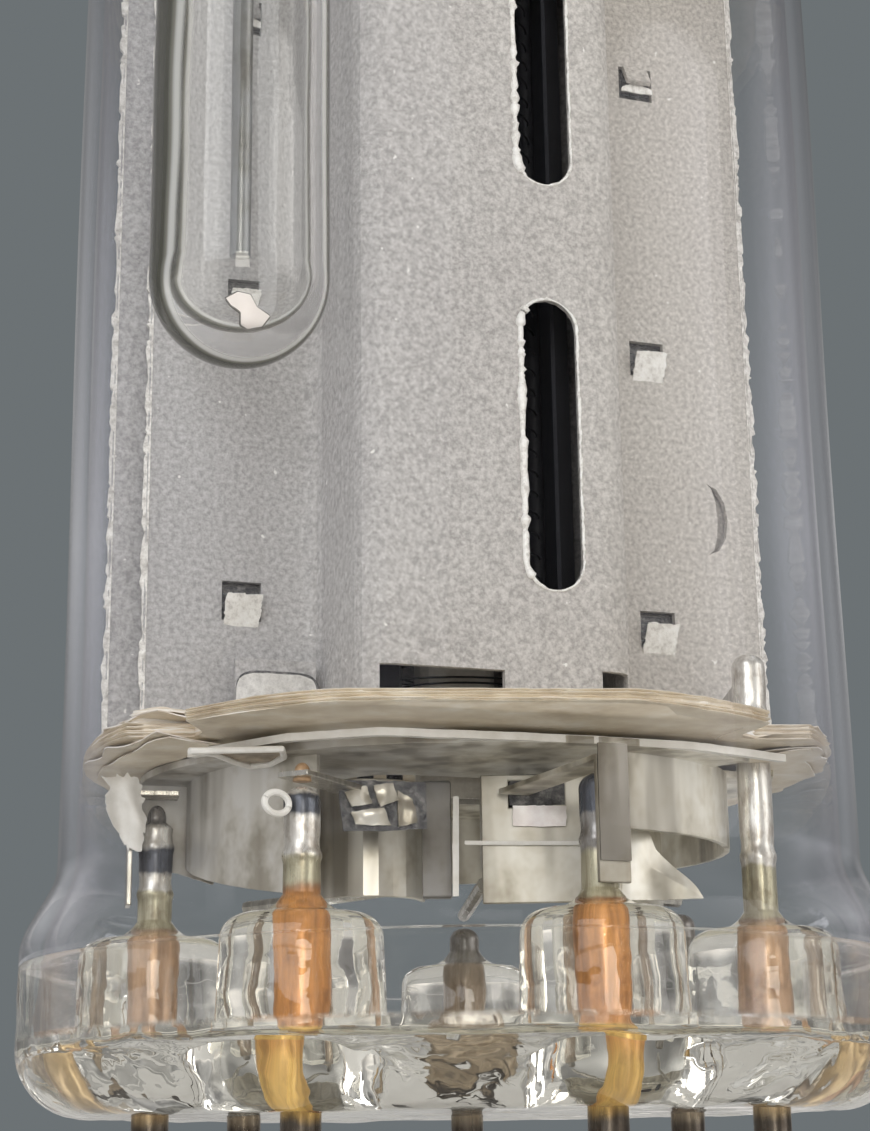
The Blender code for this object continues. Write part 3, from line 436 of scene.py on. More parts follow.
# the pale line and the dark band at the sleeve's edges are painted shade, standing for the dark surroundings the glass
# would refract there
sleeveLook = {"left": -14.63, "right": -7.1, "shift": 0.35, "gleam": 0.3, "ripplesScale": 170, "ripplesDepth": 0.03,
              "clear": (0.985, 0.985, 0.975), "pale": (0.93, 0.94, 0.91), "edgeShadeSmoke": (0.22, 0.22, 0.18),
              "edgeShadeOlive": (0.055, 0.055, 0.035),
              "toneStops": ((0.30, "clear"), (0.355, "pale"), (0.395, "pale"), (0.44, "edgeShadeSmoke"), (0.50, "edgeShadeOlive"),
                            (0.60, "edgeShadeOlive")),
              "throughStops": ((0.31, 1.0), (0.355, 0.45), (0.40, 0.45), (0.46, 0.12))}


def sleeveGlassPaint(s):
    # clear glass with painted edge shade: a pale line and then a dark band towards its edges, wide at the left and thin
    # at the right
    paint, tree, shader = newPaint("sleeveGlass", Roughness=0.02, IOR=1.5, Specular_IOR_Level=s["gleam"])
    facing = add(tree, "LayerWeight", {"Blend": 0.5}).outputs["Facing"]
    moved = reckoned(tree, "MULTIPLY_ADD", heightOf(tree, s["left"], s["right"], "X"), -s["shift"], facing)
    tone = ramp(tree, moved, [(place, s[key]) for place, key in s["toneStops"]])
    through = ramp(tree, moved, [(place, (share,) * 3) for place, share in s["throughStops"]])
    tree.links.new(tone, shader.inputs["Base Color"])
    tree.links.new(through, shader.inputs["Transmission Weight"])
    tree.links.new(bentLessThan(tree), shader.inputs["Alpha"])
    ripples = grain(tree, stretched(tree), scale=s["ripplesScale"], detail=1.5, roughness=0.4)
    raised(tree, shader, ripples, s["ripplesDepth"])
    return paint


bulbLook = {"seal": (17.5, 17.8), "slant": 3.3, "shine": (0.003, 0.66),
            "sealTone": (0.975, 0.965, 0.88), "wallTone": (0.92, 0.92, 1.0)}


def bulbGlassPaint(s):
    # thin clear glass: what it doesn't let through is its reflection; solid glass below the seal
    paint, tree, shader = newPaint("bulbGlass", Roughness=0.02, IOR=1.5)
    high = heightOf(tree, *s["seal"])
    gloss = spread(tree, slanted(tree, s["slant"]), 0.0, 1.0, *s["shine"])
    tree.links.new(between(tree, high, 1.0, gloss), shader.inputs["Alpha"])
    tree.links.new(high, shader.inputs["Metallic"])
    tree.links.new(spread(tree, high, 0.0, 1.0, 1.0, 0.0), shader.inputs["Transmission Weight"])
    tree.links.new(mixColour(tree, high, s["sealTone"], s["wallTone"]), shader.inputs["Base Color"])
    return paint


anodeLook = {"grain": 4500, "cloud": 130, "specks": 1900,
             "tones": ((0.32, (0.40, 0.388, 0.38)), (0.50, (0.54, 0.527, 0.515)), (0.68, (0.68, 0.665, 0.65))),
             "clouds": ((0.25, (0.86, 0.85, 0.85)), (0.75, (1.0, 1.0, 1.0))),
             "across": ((0.1, (0.90, 0.915, 0.95)), (0.5, (0.97, 0.965, 0.96)), (0.85, (1.0, 0.98, 0.945))),
             "speckTone": (0.80, 0.79, 0.77), "speckStops": ((0.735, (0, 0, 0)), (0.76, (1, 1, 1))), "depth": 0.035}


def anodePaint(s):
    # sprayed grey coating: fine grains, faint cloudy patches and a few pale specks, with painted light across it:
    # cooler and darker left, warmer and lighter right
    paint, tree, shader = newPaint("anodeGrey", Roughness=0.78, Metallic=0.0, Specular_IOR_Level=0.35)
    vector = stretched(tree)
    fine = grain(tree, vector, scale=s["grain"], detail=2.0, roughness=0.72)
    cloud = grain(tree, stretched(tree, (1, 1, 0.45)), scale=s["cloud"], detail=2.0, roughness=0.55)
    base = ramp(tree, fine, s["tones"])
    tone = ramp(tree, cloud, s["clouds"])
    # painted light: the left side darker and cooler, the right side lighter and warmer
    side = ramp(tree, heightOf(tree, -15.0, 15.0, "X"), s["across"])
    colour = times(tree, times(tree, base, tone), side)
    pale = grain(tree, vector, scale=s["specks"], detail=2.0, roughness=0.5)
    specks = ramp(tree, pale, s["speckStops"])
    tree.links.new(mixColour(tree, specks, colour, s["speckTone"]), shader.inputs["Base Color"])
    raised(tree, shader, fine, distance=s["depth"], strength=0.8)
    return paint


def shearedPaint(name, dark, middle, bright):
    # bare torn metal at the sheet's edges
    paint, tree, shader = newPaint(name, Roughness=0.5, Metallic=0.15)
    vector = stretched(tree)
    flake = grain(tree, vector, scale=2600, detail=4.0, roughness=0.75)
    tree.links.new(ramp(tree, flake, [(0.32, dark), (0.5, middle), (0.66, bright)]), shader.inputs["Base Color"])
    raised(tree, shader, flake, distance=0.06)
    return paint


def micaPaint(name, edgeTone):
    # thin leaves: fine layers in height, cloudy tan faces
    paint, tree, shader = newPaint(name, Roughness=0.38, Specular_IOR_Level=0.6)
    layers = grain(tree, stretched(tree, (0.18, 0.18, 3.2)), scale=2400)
    patch = grain(tree, stretched(tree), scale=420, detail=4.0, roughness=0.65)
    leaf = ramp(tree, layers, [(0.34, (0.62, 0.52, 0.42)), (0.5, edgeTone), (0.62, (0.98, 0.96, 0.93))])
    face = ramp(tree, patch, [(0.3, (0.60, 0.50, 0.37)), (0.52, (0.80, 0.71, 0.56)), (0.72, (0.95, 0.90, 0.80))])
    split = add(tree, "SeparateXYZ")
    tree.links.new(add(tree, "NewGeometry").outputs["Normal"], split.inputs[0])
    flat = reckoned(tree, "ABSOLUTE", split.outputs["Z"])
    tree.links.new(mixColour(tree, flat, leaf, face), shader.inputs["Base Color"])
    raised(tree, shader, layers, distance=0.05, strength=0.7)
    return paint


def nickelPaint(name, tone, roughLow, roughHigh, dark=0.55):
    # satin strip: fine upright streaks in tone and gloss, dull patches
    paint, tree, shader = newPaint(name, Metallic=1.0)
    streak = grain(tree, stretched(tree, (1, 1, 0.06)), scale=2600)
    patch = grain(tree, stretched(tree), scale=300, detail=4.0)
    dull = tuple(c * dark for c in tone)
    first = ramp(tree, streak, [(0.3, dull), (0.6, tone)])
    second = ramp(tree, patch, [(0.3, (0.62, 0.60, 0.56)), (0.6, (1.0, 1.0, 1.0))])
    tree.links.new(times(tree, first, second), shader.inputs["Base Color"])
    tree.links.new(spread(tree, streak, 0.3, 0.7, roughHigh, roughLow), shader.inputs["Roughness"])
    raised(tree, shader, streak, distance=0.02, strength=0.5)
    return paint


def satinPaint(name, left, right, low=-11.0, high=10.0, rough=0.42, metallic=0.55):
    # dull rolled sheet: the tone changes across the tube, with soft upright bands and mottled patches
    paint, tree, shader = newPaint(name, Roughness=rough, Metallic=metallic)
    tone = ramp(tree, heightOf(tree, low, high, "X"), [(0.0, left), (1.0, right)])
    band = grain(tree, stretched(tree, (1, 1, 0.10)), scale=620, detail=2.0, roughness=0.5)
    patch = grain(tree, stretched(tree, (1, 1, 0.8)), scale=330, detail=4.0, roughness=0.65)
    bands = ramp(tree, band, [(0.36, (0.50, 0.48, 0.45)), (0.5, (0.90, 0.89, 0.87)), (0.60, (1, 1, 1))])
    patches = ramp(tree, patch, [(0.36, (0.58, 0.55, 0.49)), (0.47, (0.86, 0.84, 0.80)), (0.56, (1, 1, 1))])
    banded = times(tree, tone, bands)
    tree.links.new(times(tree, banded, patches), shader.inputs["Base Color"])
    raised(tree, shader, patch, distance=0.05, strength=0.5)
    return paint


# the pin and pinTop tones are painted shade under the glass base, and the dark tone is painted shadow on the welded
# wires
leadTones = {"cream": (0.55, 0.52, 0.38), "bright": (0.93, 0.92, 0.88), "dark": (0.12, 0.13, 0.155),
             "nib": (0.36, 0.35, 0.34), "pin": (0.06, 0.055, 0.05), "pinTop": (0.10, 0.085, 0.07),
             "gold": (0.80, 0.50, 0.13), "deepGold": (0.84, 0.55, 0.17), "copperFoot": (0.68, 0.30, 0.09),
             "copper": (0.72, 0.34, 0.11), "copperEnd": (0.38, 0.20, 0.10), "warmth": (1.0, 0.90, 0.76), "span": 32.0,
             "waver": 0.02}


def leadPaint(name, copperTop, upper, seal=1.0, grey=0.2):
    # levels in mm: a pin painted nearly black as shade, gold in the plate, copper in the boss, then the tones of the
    # welded wires, whose dark bands are painted shadow
    # seal is how strong the gold and copper are, and grey what takes their place
    t = leadTones
    paint, tree, shader = newPaint(name)
    high = heightOf(tree, 0.0, t["span"])
    wave = grain(tree, stretched(tree, (1, 1, 0.5)), scale=900)
    shifted = reckoned(tree, "MULTIPLY_ADD", wave, t["waver"], high)
    sealed = [(12.4, "gold"), (14.3, "deepGold"), (15.0, "copperFoot"), (copperTop - 0.5, "copper"),
              (copperTop, "copperEnd")]
    tones = [(0.0, t["pin"]), (11.6, t["pinTop"])]
    for level, key in sealed:
        tones.append((level, tuple(c * seal + grey * (1 - seal) * warm for c, warm in zip(t[key], t["warmth"]))))
    for start, end, key in upper:
        tones += [(start + 0.05, t[key]), (end - 0.05, t[key])]
    colour = ramp(tree, shifted, [(level / t["span"] + t["waver"] / 2, tone) for level, tone in tones])
    streak = grain(tree, stretched(tree, (1, 1, 0.08)), scale=3000)
    speckle = grain(tree, stretched(tree, (1, 1, 0.7)), scale=1300, detail=4.0, roughness=0.7)
    blotch = ramp(tree, speckle, [(0.36, (0.66, 0.62, 0.58)), (0.52, (1.0, 1.0, 1.0))])
    shade = ramp(tree, streak, [(0.3, (0.50, 0.47, 0.44)), (0.6, (1.0, 1.0, 1.0))])
    colour = times(tree, colour, blotch)
    tree.links.new(times(tree, colour, shade), shader.inputs["Base Color"])
    metal = ramp(tree, high, [(0.36, (0.8,) * 3), (0.42, (0.2,) * 3), (0.62, (0.2,) * 3), (0.66, (0.6,) * 3)])
    tree.links.new(metal, shader.inputs["Metallic"])
    tree.links.new(spread(tree, streak, 0.3, 0.7, 0.42, 0.2), shader.inputs["Roughness"])
    raised(tree, shader, wave, distance=0.03, strength=0.5)
    return paint


def plainPaint(name, first, second, scale, rough, metallic=0.0, depth=0.02):
    # one finish between two tones, with fine grain
    paint, tree, shader = newPaint(name, Roughness=rough, Metallic=metallic)
    fine = grain(tree, stretched(tree), scale, detail=4.0, roughness=0.65)
    tree.links.new(ramp(tree, fine, [(0.3, first), (0.7, second)]), shader.inputs["Base Color"])
    if depth:
        raised(tree, shader, fine, depth, strength=0.7)
    return paint


def filmPaint(low, high):
    # a mirror film that thins out towards its ragged lower edge
    paint, tree, shader = newPaint("getterFilm", Metallic=1.0, Roughness=0.12)
    level = heightOf(tree, low, high)
    cloud = grain(tree, stretched(tree), scale=120, roughness=0.5)
    edge = reckoned(tree, "MULTIPLY_ADD", cloud, 0.5, level)
    cover = ramp(tree, edge, [(0.35, (0, 0, 0)), (0.75, (1, 1, 1))])
    tone = ramp(tree, edge, [(0.4, (0.10, 0.07, 0.05)), (0.8, (0.52, 0.50, 0.48))])
    tree.links.new(cover, shader.inputs["Alpha"])
    tree.links.new(tone, shader.inputs["Base Color"])
    return paint


studio = {"seen": (0.150, 0.168, 0.176), "cream": 0.90, "white": 0.98, "patchScale": 2.4,
          "panels": ((0.0, 0.34), (0.40, 0.50), (0.47, 0.75), (0.51, 0.26), (0.56, 0.18), (0.64, 0.38), (0.76, 0.16),
                     (1.0, 0.45)),
          "patches": (0.38, 0.62, 0.45, 1.70)}


def studioWorld(s):
    # plain grey to the eye; metal and glass mirror soft panels: cream below, and whiter above the height of the eye
    world = bpy.data.worlds.new("studio")
    world.use_nodes = True
    tree = world.node_tree
    where = add(tree, "TexCoord").outputs["Generated"]
    split = add(tree, "SeparateXYZ")
    tree.links.new(where, split.inputs[0])
    height = spread(tree, split.outputs["Z"], -1.0, 1.0, 0.0, 1.0)
    stops = []
    for place, grey in s["panels"]:
        warm = s["cream"] if place < 0.5 else s["white"]
        stops.append((place, (grey, grey * (1 + warm) / 2, grey * warm)))
    varied = add(tree, "VectorMath", operation="SCALE")
    tree.links.new(ramp(tree, height, stops), varied.inputs[0])
    patches = grain(tree, where, scale=s["patchScale"], detail=1.0, roughness=0.5)
    tree.links.new(spread(tree, patches, *s["patches"]), varied.inputs["Scale"])
    seenByCamera = add(tree, "LightPath").outputs["Is Camera Ray"]
    tone = mixColour(tree, seenByCamera, varied.outputs["Vector"], s["seen"])
    tree.links.new(tone, tree.nodes["Background"].inputs["Color"])
    scene.world = world


studioWorld(studio)

bulbGlass = bulbGlassPaint(bulbLook)
stemGlass = stemGlassPaint(stemLook)
sleeveGlass = sleeveGlassPaint(sleeveLook)
anodeGrey = anodePaint(anodeLook)
shearedEdge = shearedPaint("shearedEdge", (0.42, 0.40, 0.38), (0.74, 0.72, 0.69), (0.95, 0.94, 0.91))
tornBright = shearedPaint("tornBright", (0.62, 0.60, 0.57), (0.90, 0.89, 0.86), (0.97, 0.97, 0.95))
# near-black torn metal used only for painted shade: the lance openings, the lug's shadow line, behind the tabs and in
# the bracket's window
paintedShadeDark = shearedPaint("paintedShadeDark", (0.05, 0.05, 0.055), (0.13, 0.13, 0.135), (0.32, 0.31, 0.30))
micaFace = micaPaint("micaFace", (0.82, 0.72, 0.58))
micaLeaf = micaPaint("micaLeaf", (0.97, 0.93, 0.88))
nickelSatin = nickelPaint("nickelSatin", (0.66, 0.64, 0.59), roughLow=0.22, roughHigh=0.42)
nickelBright = nickelPaint("nickelBright", (0.86, 0.84, 0.78), roughLow=0.16, roughHigh=0.32, dark=0.7)
# where the copper ends, the bands of the wires above it, and how strong and how grey the seal is
leadBands = {
    "leadFirst": (19.2, [(19.4, 21.0, "cream"), (21.0, 21.7, "bright"), (21.7, 22.8, "dark"), (22.8, 23.7, "bright"),
                         (23.7, 24.6, "nib")], 0.5, 0.50),
    "leadSecond": (20.0, [(20.2, 21.2, "cream"), (21.2, 22.7, "bright"), (22.7, 23.5, "dark"),
                          (23.5, 24.0, "bright")], 1.0),
    "leadThird": (19.2, [(19.4, 21.2, "cream"), (21.2, 22.6, "nib"), (22.6, 24.2, "dark")], 1.0),
    "leadFourth": (19.2, [(19.4, 21.6, "cream"), (21.6, 31.0, "bright")], 0.5, 0.50),
    "leadRear": (18.4, [(18.6, 21.0, "nib")], 0.15, 0.40),
}
leadMetals = {name: leadPaint(name, *values) for name, values in leadBands.items()}
leadFor = {1: "leadFirst", 2: "leadSecond", 3: "leadThird", 4: "leadFourth",
           5: "leadRear", 6: "leadRear", 7: "leadRear"}
shieldSatin = satinPaint("shieldSatin", (0.66, 0.65, 0.63), (0.97, 0.95, 0.87), metallic=0.35)
plateSatin = satinPaint("plateSatin", (0.74, 0.72, 0.67), (0.95, 0.93, 0.85), rough=0.30, metallic=0.55)
strapDark = satinPaint("strapDark", (0.16, 0.155, 0.15), (0.26, 0.25, 0.235), rough=0.4)
# a grey for the painted shade on the strap's leg
legShadeGrey = satinPaint("legShadeGrey", (0.34, 0.325, 0.30), (0.46, 0.44, 0.40), rough=0.4)
bracketSatin = satinPaint("bracketSatin", (0.50, 0.485, 0.44), (0.66, 0.64, 0.58), rough=0.38, metallic=0.45)
rodGrey = satinPaint("rodGrey", (0.25, 0.26, 0.27), (0.30, 0.31, 0.32), rough=0.35)
strapLight = satinPaint("strapLight", (0.70, 0.68, 0.62), (0.86, 0.83, 0.74))
lipWhite = plainPaint("lipWhite", (0.80, 0.78, 0.73), (0.96, 0.95, 0.92), scale=1200, rough=0.4)
curlBrown = plainPaint("curlBrown", (0.10, 0.075, 0.05), (0.52, 0.43, 0.32), scale=900, rough=0.5)
nibOrange = plainPaint("nibOrange", (0.36, 0.22, 0.12), (0.62, 0.42, 0.26), scale=1500, rough=0.4, metallic=0.3)
gridDark = plainPaint("gridDark", (0.012, 0.013, 0.018), (0.03, 0.03, 0.036), scale=2000, rough=0.6, metallic=0.2)
beamDark = plainPaint("beamDark", (0.010, 0.011, 0.016), (0.022, 0.023, 0.030), scale=1800, rough=0.8)
oxideWhite = plainPaint("oxideWhite", (0.62, 0.60, 0.56), (0.80, 0.78, 0.74), scale=3000, rough=0.9)
getterSteel = plainPaint("getterSteel", (0.16, 0.145, 0.13), (0.34, 0.31, 0.28), scale=900, rough=0.35, metallic=1.0)
floorPale = plainPaint("floorPale", (0.72, 0.71, 0.69), (0.76, 0.75, 0.73), scale=8, rough=0.9, metallic=0.0, depth=0.0)
foilPink = plainPaint("foilPink", (0.74, 0.68, 0.66), (0.90, 0.86, 0.84), scale=500, rough=0.4, metallic=0.1)
bandPink = plainPaint("bandPink", (0.70, 0.62, 0.62), (0.95, 0.93, 0.93), scale=700, rough=0.35, metallic=0.2)
lugPale = shearedPaint("lugPale", (0.50, 0.49, 0.48), (0.68, 0.67, 0.655), (0.80, 0.79, 0.775))
print("materials made")

floorDisc = {"radius": 0.36, "corners": 96}


def makeFloor(s):
    # a round pale floor under the pins
    a = np.linspace(0, 2 * np.pi, s["corners"], endpoint=False)
    floor = bpy.data.objects.new("floor", bpy.data.meshes.new("floor"))
    edge = np.stack([np.cos(a), np.sin(a), 0 * a], axis=-1) * s["radius"]
    floor.data.from_pydata(edge, [], [list(range(s["corners"]))])
    floor.data.materials.append(floorPale)
    scene.collection.objects.link(floor)


makeFloor(floorDisc)


# glass base: plate, seven bosses and rim

base = {"plateBottom": 12.0, "plateTop": 14.45, "bossTop": 19.05, "bossRadius": 3.15, "bossRound": 0.9,
        "bossDraft": 0.12, "footRadius": 0.35, "climb": 0.8, "climbReach": 0.45, "climbDrop": 0.04,
        "rimInner": 17.15, "rimOuter": 18.1, "rimTop": 17.9, "footRound": 2.8, "hollow": 0.25,
        "pinCircle": 12.7, "turn": -20.4, "count": 7, "leadRadius": 0.7,
        "longWave": 9.0, "longDepth": 0.07, "shortWave": 2.7, "shortDepth": 0.048,
        "calmReach": 1.4, "calmShare": 0.35, "calmTop": 0.3}


def leadAzimuth(number):
    # the leads stand at equal steps, with the front between the second and the third
    return math.radians(base["turn"] + (number - 2.5) * 360 / base["count"])


def bossProfile(b):
    # radius and height from the lead out: the climb on the lead, the flat top, the shoulder, the wall and the foot
    top, low, edge = b["bossTop"], b["plateTop"], b["bossRadius"]
    inner = np.array([0.0, 0.35, 0.7, 0.85, 1.0, 1.25, 1.6, 2.0, 2.35])
    climb = top + b["climb"] * np.exp(-np.maximum(inner - b["leadRadius"], 0) / b["climbReach"]) - b["climbDrop"]
    upper, turn = edge - b["bossDraft"], b["bossRound"]
    return np.concatenate([
        np.stack([inner, climb], axis=1),
        bow(upper - turn, top - turn, turn, turn, 90, 0, 9),
        straight(upper, top - turn, edge, low + b["footRadius"], 8)[1:],
        bow(edge + b["footRadius"], low + b["footRadius"], b["footRadius"], b["footRadius"], 180, 270, 6)[1:],
    ])


def wavyGlass(points, b):
    # pressed glass is never even: long and short waves, calm near the seal line and round each lead
    fade = np.clip(b["rimTop"] - b["calmTop"] - points[..., 2:3], 0, 1)
    long = np.stack([ripple(points, b["longWave"], seed) for seed in (1, 2, 3)], axis=-1)
    short = np.stack([ripple(points, b["shortWave"], seed) for seed in (4, 5, 6)], axis=-1)
    still = np.clip(np.abs(np.hypot(points[..., :1], points[..., 1:2]) - b["pinCircle"]) - b["calmReach"], 0, 1)
    waves = b["longDepth"] * long + b["shortDepth"] * short
    return (points + waves * fade * np.maximum(still, b["calmShare"])) * mm


def makeStemGlass(b):
    # each boss has rings about its lead; the last rings run out to the edge of its own seventh of the plate
    half = math.pi / b["count"]
    rim = around(np.linspace(-half, half, 37), b["rimInner"])
    t = np.linspace(1, 0, 25)[1:, None]
    inward = around(np.array([half]), b["rimInner"]) * t
    outward = around(np.array([-half]), b["rimInner"]) * t[::-1][1:]
    border = np.concatenate([rim, inward, outward[:-1]])
    centre = around(np.array(0.0), b["pinCircle"])
    way = border - centre
    way /= np.linalg.norm(way, axis=1, keepdims=True)
    profile = bossProfile(b)
    flat = centre + profile[:, 0][:, None, None] * way
    rise = np.broadcast_to(profile[:, 1][:, None, None], flat.shape[:2] + (1,))
    bossRows = np.concatenate([flat, rise], axis=-1)
    out = np.linspace(0, 1, 7)[1:, None, None]
    plateFlat = flat[-1] * (1 - out) + border * out
    plateRows = np.concatenate([plateFlat, np.full(plateFlat.shape[:2] + (1,), b["plateTop"])], axis=-1)
    sector = np.concatenate([bossRows, plateRows])
    sectors = [turned(sector, leadAzimuth(number)) for number in range(1, b["count"] + 1)]
    foot, low = b["rimOuter"] - b["footRound"], b["plateBottom"]
    wall = turnedRows(np.concatenate([
        straight(b["rimInner"], b["plateTop"], b["rimInner"], b["rimTop"], 12),
        straight(b["rimInner"], b["rimTop"], b["rimOuter"], b["rimTop"], 6)[1:],
        straight(b["rimOuter"], b["rimTop"], b["rimOuter"], low + b["footRound"], 10)[1:],
        bow(foot, low + b["footRound"], b["footRound"], b["footRound"], 0, -90, 12)[1:],
        straight(foot, low, 0.0, low + b["hollow"], 16)[1:],
    ]), 36 * b["count"])
    wall = turned(wall, leadAzimuth(1) - half)
    parts = [gridFaces(wavyGlass(rows, b), closeColumns=True) for rows in (*sectors, wall)]
    makePiece("stemGlass", parts, stemGlass, ["stem_plate"], shadow=False)


makeStemGlass(base)
print("base made")


# bulb

bulb = {"radius": 16.7, "wall": 0.75, "bottom": 17.95, "lip": 0.45, "flareTop": 21.9, "flareOuter": 18.1,
        "flareInner": 17.15, "domeStart": 72.2, "domeHeight": 10.2, "tipHeight": 2.3, "tipRadius": 2.0, "tipFall": 1.1,
        "rim": 0.2, "unevenness": 0.05, "waveSize": 22.0, "calm": 0.4, "swellRise": 2.0}


def makeBulb(b):
    # one closed profile: down the outside from the sealed tip, and back up the inside
    outer, inner, seam = b["radius"], b["radius"] - b["wall"], b["bottom"] + b["lip"]
    outerDome = bow(0, b["domeStart"], outer, b["domeHeight"], 90, 0, 60)
    outerDome[:, 1] += b["tipHeight"] * np.exp(-(outerDome[:, 0] / b["tipRadius"]) ** 2 * b["tipFall"])
    t = np.linspace(0, 1, 16)
    ease = t * t * (3 - 2 * t)
    outFlare = np.stack([outer + (b["flareOuter"] - outer) * ease, b["flareTop"] + (seam - b["flareTop"]) * t], 1)
    inFlare = np.stack([b["flareInner"] + (inner - b["flareInner"]) * ease, seam + (b["flareTop"] + 0.3 - seam) * t], 1)
    rows = turnedRows(np.concatenate([
        outerDome, straight(outer, b["domeStart"], outer, b["flareTop"], 40)[1:-1], outFlare,
        straight(b["flareOuter"], b["bottom"] + b["rim"], b["flareOuter"], b["bottom"], 2),
        straight(b["flareInner"], b["bottom"], b["flareInner"], b["bottom"] + b["rim"], 2), inFlare,
        straight(inner, b["flareTop"] + 0.6, inner, b["domeStart"], 40),
        bow(0, b["domeStart"], inner, b["domeHeight"] - b["wall"], 0, 90, 60)[1:],
    ]), 160)
    swell = np.clip((rows[..., 2:3] - b["bottom"] - b["calm"]) / b["swellRise"], 0, 1)
    out = rows[..., :2] / np.maximum(np.hypot(rows[..., :1], rows[..., 1:2]), 1e-6)
    rows[..., :2] += out * (b["unevenness"] * ripple(rows, b["waveSize"], 11)[..., None] * swell)
    makePiece("bulbGlass", [gridFaces(rows * mm, closeColumns=True)], bulbGlass, ["bulb"], shadow=False)


makeBulb(bulb)


# leads

leads = {"pinRadius": 0.75, "leadRadius": 0.7, "sides": 40, "tip": 0.6, "step": 12.4, "bead": (0.07, 0.16),
         "neck": (0.04, 0.3), "neckAbove": 0.5, "rough": 0.012, "roughSize": 1.5, "nibStep": 0.08,
         "tops": {1: 24.6, 2: 23.8, 3: 24.1, 4: 30.5, 5: 20.9, 6: 20.9, 7: 20.9}, "nibs": {1: (23.7, 0.39)},
         "joints": {1: (20.9, 22.8), 2: (21.2,), 3: (21.6,), 4: (22.0, 27.9), 5: (), 6: (), 7: ()}}


def makeLead(number, s):
    # a rod turned about its own axis: rounded tip, a step at the glass, weld beads, a rounded head
    top, tip, step = s["tops"][number], s["tip"], s["step"]
    z = np.concatenate([np.linspace(0, tip, 8), np.linspace(tip + 0.1, step - 0.1, 24),
                        np.linspace(step + 0.1, top - tip, 90), np.linspace(top - tip + 0.05, top, 10)])
    radius = np.where(z < step, s["pinRadius"], s["leadRadius"])
    radius = np.where(z < tip, s["pinRadius"] * np.sqrt(np.clip(1 - (1 - z / tip) ** 2 * 0.7, 0, 1)), radius)
    if number in s["nibs"]:
        shoulder, thin = s["nibs"][number]
        radius = radius + (thin - s["leadRadius"]) * np.clip((z - shoulder) / s["nibStep"], 0, 1)
    head = np.clip((z - (top - tip)) / tip, 0, 1)
    radius = radius * np.sqrt(np.clip(1 - head ** 2, 0, 1))
    (bead, beadLength), (neck, neckLength) = s["bead"], s["neck"]
    for level in s["joints"][number]:
        thicker = bead * np.exp(-((z - level) / beadLength) ** 2)
        thinner = neck * np.exp(-((z - level - s["neckAbove"]) / neckLength) ** 2)
        radius = radius + thicker - thinner
    profile = np.stack([np.concatenate([[0], radius]), np.concatenate([[0], z])], axis=1)
    rows = turnedRows(profile[::-1], s["sides"], around(np.array(leadAzimuth(number)), base["pinCircle"]))
    bend = ripple(rows, s["roughSize"], 20 + number)
    rows += s["rough"] * np.stack([bend, bend, 0 * bend], axis=-1)
    makePiece(f"lead{number}", [gridFaces(rows * mm, closeColumns=True)], leadMetals[leadFor[number]],
              [f"pin_{number}"])


for number in range(1, base["count"] + 1):
    makeLead(number, leads)
print("bulb and leads made")


# glass sleeve and what hangs in it

sleeve = {"centre": (-10.865, -4.815), "radius": 3.765, "wall": 0.8, "bottom": 42.0, "top": 70.2, "unevenness": 0.02,
          "waveSize": 6.0, "lip": 0.4, "lipDrop": 0.3, "floor": 0.15}


def makeSleeve(s):
    # a round-bottomed tube: outside down to the bottom, inside back up
    out, inner, level, top = s["radius"], s["radius"] - s["wall"], s["bottom"] + s["radius"], s["top"]
    lip, edge, floor = inner + s["lip"], top - s["lipDrop"], level + s["floor"]
    profile = np.concatenate([
        straight(lip, top, out, edge + 0.05, 4), straight(out, edge, out, level, 30)[1:],
        bow(0, level, out, out, 0, -90, 24)[1:], bow(0, floor, inner, inner - 0.35, -90, 0, 24),
        straight(inner, floor, inner, edge, 30)[1:], straight(inner, edge + 0.05, lip, top, 4)[:-1],
    ])
    rows = turnedRows(profile, 96, s["centre"])
    rows += s["unevenness"] * np.stack([ripple(rows, s["waveSize"], seed) for seed in (31, 32, 33)], axis=-1)
    makePiece("sleeveGlass", [gridFaces(rows * mm, closeRows=True, closeColumns=True)], sleeveGlass,
              ["glass_sleeve"], shadow=False)


makeSleeve(sleeve)
smoothCopy("sleeve_rod", "sleeveRod", rodGrey)
smoothCopy("sleeve_collar", "sleeveCollar", nickelSatin)

sleeveTab = {"y": -5.2, "shape": ((-11.49, 44.52), (-11.03, 44.81), (-10.52, 44.74), (-10.26, 44.25), (-9.75, 43.97),
                                  (-10.08, 43.59), (-10.63, 43.47), (-10.89, 43.59), (-10.89, 44.0), (-11.28, 44.25))}


def makeSleeveTab(s):
    # the loose foil tab in the sleeve's round end, with its dark rim
    shape = standing(s["shape"], s["y"])
    foil = cutSheet(shape, thick=0.06, wave=0.04, size=1.2, seed=570)
    makePiece("sleeveTab", [foil], foilPink, sharp=40)
    makePiece("sleeveTabRim", [loop(shape + [0, 0.05, 0], radius=0.06)], strapDark)


makeSleeveTab(sleeveTab)


# anode

smoothCopy("anode_front", "anodeFront", anodeGrey, bevel=0.03)
smoothCopy("anode_back", "anodeBack", anodeGrey, bevel=0.03)

anodeRims = {"low": 27.0, "high": 70.2, "half": 15.15, "frontLeft": 13.75, "frontRight": 14.75, "sheet": 0.3,
             "back": 0.3, "reach": 0.22, "root": 0.12, "steps": 500, "teeth": 170, "leans": 120, "lean": 0.12}


